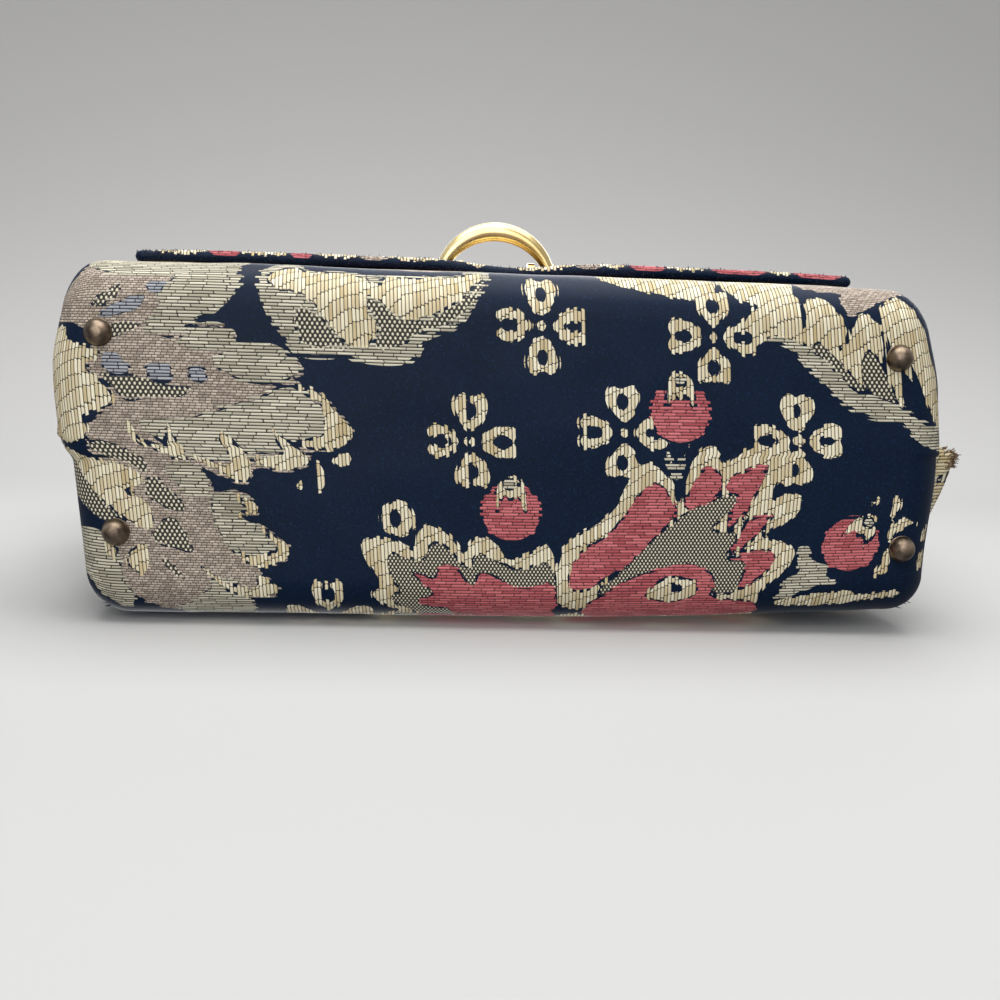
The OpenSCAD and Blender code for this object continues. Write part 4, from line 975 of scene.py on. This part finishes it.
# clasp bow: a crescent turned out of round brass, on two pins
bow = {"half": 15.65, "rise": 10.8, "crown": 5.4, "leg": 3.2, "wide": 4.2, "pin": 1.6, "earIn": 9.4, "soft": 0.5,
       "pivot": (0, -45.94987, 85.52079), "steps": 56}
bowR = (bow["rise"] ** 2 + bow["half"] ** 2) / (2 * bow["rise"])
bowSweep = 2 * math.atan(bow["rise"] / bow["half"])
centre = (0, 0, 0)
bm = bmesh.new()
ring = ops.create_circle(bm, segments=28, radius=1, cap_ends=False)["verts"]
ops.translate(bm, verts=ring, vec=(bowR, 0, 0))
ops.rotate(bm, verts=ring, cent=centre, matrix=Matrix.Rotation(bowSweep - math.pi / 2, 3, "Y"))
sweep(bm, bm.edges[:] + bm.verts[:], centre, (0, 1, 0), -2 * bowSweep, bow["steps"])
for vert in bm.verts:
    angle = math.atan2(vert.co.x, vert.co.z)
    thick = bow["leg"] + (bow["crown"] - bow["leg"]) * math.cos(math.pi / 2 * min(1, abs(angle) / bowSweep))
    radius = bowR + (math.hypot(vert.co.x, vert.co.z) - bowR) * thick / 2
    vert.co = Vector((radius * math.sin(angle), vert.co.y * bow["wide"] / 2,
                      radius * math.cos(angle) + bow["rise"] - bowR))
onSide = Matrix.Rotation(math.pi / 2, 3, "Y")
pinL = bow["half"] - bow["earIn"]
for side in (-1, 1):
    foot, rims = addRod(bm, bow["wide"] / 2, bow["leg"], 28)
    ops.rotate(bm, verts=foot, cent=centre, matrix=onSide)
    ops.translate(bm, verts=foot, vec=(side * bow["half"], 0, 0))
    cutEdges(bm, rims, bow["soft"], 3)
    pin = addRod(bm, bow["pin"] / 2, pinL, 18)[0]
    ops.rotate(bm, verts=pin, cent=centre, matrix=onSide)
    ops.translate(bm, verts=pin, vec=(side * (bow["half"] - pinL / 2), 0, 0))
ops.recalc_face_normals(bm, faces=bm.faces)
ops.rotate(bm, verts=bm.verts, cent=centre, matrix=Matrix.Rotation(math.pi / 2 - lean, 3, "X"))
ops.translate(bm, verts=bm.verts, vec=bow["pivot"])
finishPiece("clasp_bow_brass", bm, ["brass"], "bow", ["clasp_bow"], inMm=True)
print("bow turned")

# domed studs under the bottom, each with a small worn flat and a thin flange
stud = {"spanX": 186, "spanY": 45.6, "skew": 3.8, "shift": 2, "d": 6.1, "flat": 2.2, "flange": 0.5, "rings": 14,
        "lip": ((0.16, 0.05), (0.18, 0.3), (0.05, 0.6))}
flatTurn = math.acos(stud["flat"] / stud["d"])
dome = bag["footH"] - stud["flange"]
profile = [(0, 0)] + [(stud["d"] / 2 * math.cos(a), dome - dome / math.sin(flatTurn) * math.sin(a))
                      for a in [flatTurn * (1 - k / stud["rings"]) for k in range(stud["rings"] + 1)]]
profile += [(stud["d"] / 2 + out, dome + up) for out, up in stud["lip"]]
for side, sideWord in ((-1, "left"), (1, "right")):
    for end, endWord in ((-1, "front"), (1, "back")):
        bm = bmesh.new()
        verts = [bm.verts.new((r, 0, z)) for r, z in profile]
        edges = [bm.edges.new(pair) for pair in zip(verts, verts[1:])]
        sweep(bm, verts + edges, centre, (0, 0, 1), 2 * math.pi, 40)
        ops.remove_doubles(bm, verts=bm.verts, dist=1e-5)
        faceTowards(bm, (0, 0, -1))
        ops.translate(bm, verts=bm.verts, vec=(side * stud["spanX"] / 2 + end * stud["skew"] / 2,
                                               end * stud["spanY"] / 2 - stud["shift"], 0))
        name = "foot_%s_%s" % (endWord, sideWord)
        finishPiece(name + "_stud", bm, ["bronze"], "bag", [name], inMm=True)
print("studs set")

# leather work shared by the handle and its tabs
grip = {"span": 92, "d": 11, "barZ": 188.2, "neck": 9, "sleeveL": 6, "sleeveUp": 2, "sleeveT": 0.8, "sleeveSoft": 1.2,
        "eyeR": 4.0, "holeR": 1.8, "eyeW": 14, "eyeSoft": 0.5, "midY": -1.00008, "steps": 72, "pinch": 0.16,
        "stitches": 44, "seamFrom": 0.08, "seamTurn": 0.5}
stitch = {"l": 1.5, "w": 0.5, "h": 0.4, "every": 2.3, "from": 1.6}


def addStitch(bm, place, along, up):
    made = ops.create_uvsphere(bm, u_segments=6, v_segments=4, radius=0.5)["verts"]
    ops.scale(bm, verts=made, vec=(stitch["l"], stitch["w"], stitch["h"]))
    along, up = Vector(along).normalized(), Vector(up).normalized()
    ops.rotate(bm, verts=made, cent=centre, matrix=Matrix((along, up.cross(along), up)).transposed())
    ops.translate(bm, verts=made, vec=place)
    for face in {f for vert in made for f in vert.link_faces}:
        face.material_index = 1


def addEye(bm, x, z, width, holeR, outR):
    # leather rolled round a bar that runs along x
    end, soft = width / 2, grip["eyeSoft"]
    ends = [(-end, holeR), (-end, outR - soft), (-end + soft, outR), (end - soft, outR), (end, outR - soft),
            (end, holeR)]
    eye = [bm.verts.new((x + along, 0, z + r)) for along, r in ends]
    loop = [bm.edges.new(pair) for pair in zip(eye, eye[1:] + eye[:1])]
    sweep(bm, eye + loop, (x, 0, z), (1, 0, 0), 2 * math.pi, 32)


# handle tabs: riveted to the flap's top strip, sewn along their edges
tab = {"w": 14, "l": 28, "t": 1.6, "z": 172.8, "corner": 2.5, "soft": 0.45, "eyeR": 3.4, "holeR": 1.8, "inset": 1.4}
top, halfW, halfL = tab["z"] + tab["t"], tab["w"] / 2 - tab["inset"], tab["l"] / 2 - tab["inset"]
for side, word in ((-1, "left"), (1, "right")):
    bm = bmesh.new()
    ops.create_cube(bm, size=1)
    ops.scale(bm, verts=bm.verts, vec=(tab["w"], tab["l"], tab["t"]))
    upright = [e for e in bm.edges if abs(e.verts[0].co.z - e.verts[1].co.z) > tab["t"] / 2]
    cutEdges(bm, upright, tab["corner"], 6)
    cutEdges(bm, [e for e in bm.edges if all(vert.co.z > 0 for vert in e.verts)], tab["soft"], 3)
    ops.translate(bm, verts=bm.verts, vec=(0, 0, tab["z"] + tab["t"] / 2))
    addEye(bm, 0, tab["z"] + tab["eyeR"], tab["w"], tab["holeR"], tab["eyeR"])
    mergeClose(bm, 1e-4)
    for end in (-1, 1):
        for k in range(4):
            y = end * (halfL - stitch["from"] - k * stitch["every"])
            for edge in (-1, 1):
                addStitch(bm, (edge * halfW, y, top), (0, 1, 0), (0, 0, 1))
        for k in (-1.5, -0.5, 0.5, 1.5):
            addStitch(bm, (k * stitch["every"], end * halfL, top), (1, 0, 0), (0, 0, 1))
    ops.translate(bm, verts=bm.verts, vec=(side * grip["span"] / 2, grip["midY"], 0))
    finishPiece("tab_%s_leather" % word, bm, ["leather", "sewing"], "bag", ["handle_tab_" + word],
                inMm=True)
print("tabs sewn")

# rolled handle: half ring of leather with a sewn seam, sleeves and eyes at its ends
gripZ, gripR, rollR = grip["barZ"] + grip["neck"], grip["span"] / 2, grip["d"] / 2
bm = bmesh.new()
ring = ops.create_circle(bm, segments=32, radius=rollR, cap_ends=False)["verts"]
ops.translate(bm, verts=ring, vec=(gripR, 0, 0))
sweep(bm, bm.edges[:] + bm.verts[:], centre, (0, 1, 0), -math.pi, grip["steps"])
for vert in bm.verts:  # seam pinched along the inner side
    radius = math.hypot(vert.co.x, vert.co.z)
    inner = max(0, (gripR - radius) / rollR)
    reached = gripR - (gripR - radius) * (1 + grip["pinch"] * inner ** 12)
    vert.co.x, vert.co.z = [c / radius * reached for c in (vert.co.x, vert.co.z)]
ops.translate(bm, verts=bm.verts, vec=(0, 0, gripZ))
sleeveL = grip["neck"] + grip["sleeveL"] - grip["sleeveUp"]
for side in (-1, 1):
    sleeve, rims = addRod(bm, rollR + grip["sleeveT"], sleeveL, 36)
    ops.translate(bm, verts=sleeve, vec=(side * gripR, 0, grip["barZ"] + grip["sleeveUp"] + sleeveL / 2))
    cutEdges(bm, rims, grip["sleeveSoft"], 4)
    addEye(bm, side * gripR, grip["barZ"], grip["eyeW"], grip["holeR"], grip["eyeR"])
mergeClose(bm, 1e-4)
for k in range(grip["stitches"]):
    angle = math.pi * (grip["seamFrom"] + (1 - 2 * grip["seamFrom"]) * k / (grip["stitches"] - 1))
    away = Vector((math.cos(angle), 0, math.sin(angle)))
    for edge in (-1, 1):
        up = edge * math.sin(grip["seamTurn"]) * Vector((0, 1, 0)) - math.cos(grip["seamTurn"]) * away
        addStitch(bm, away * gripR + up * rollR + Vector((0, 0, gripZ)), away.cross(Vector((0, 1, 0))), up)
ops.translate(bm, verts=bm.verts, vec=(0, grip["midY"], 0))
finishPiece("handle_roll", bm, ["leather", "sewing"], "handle", ["handle"], inMm=True)
print("handle rolled")
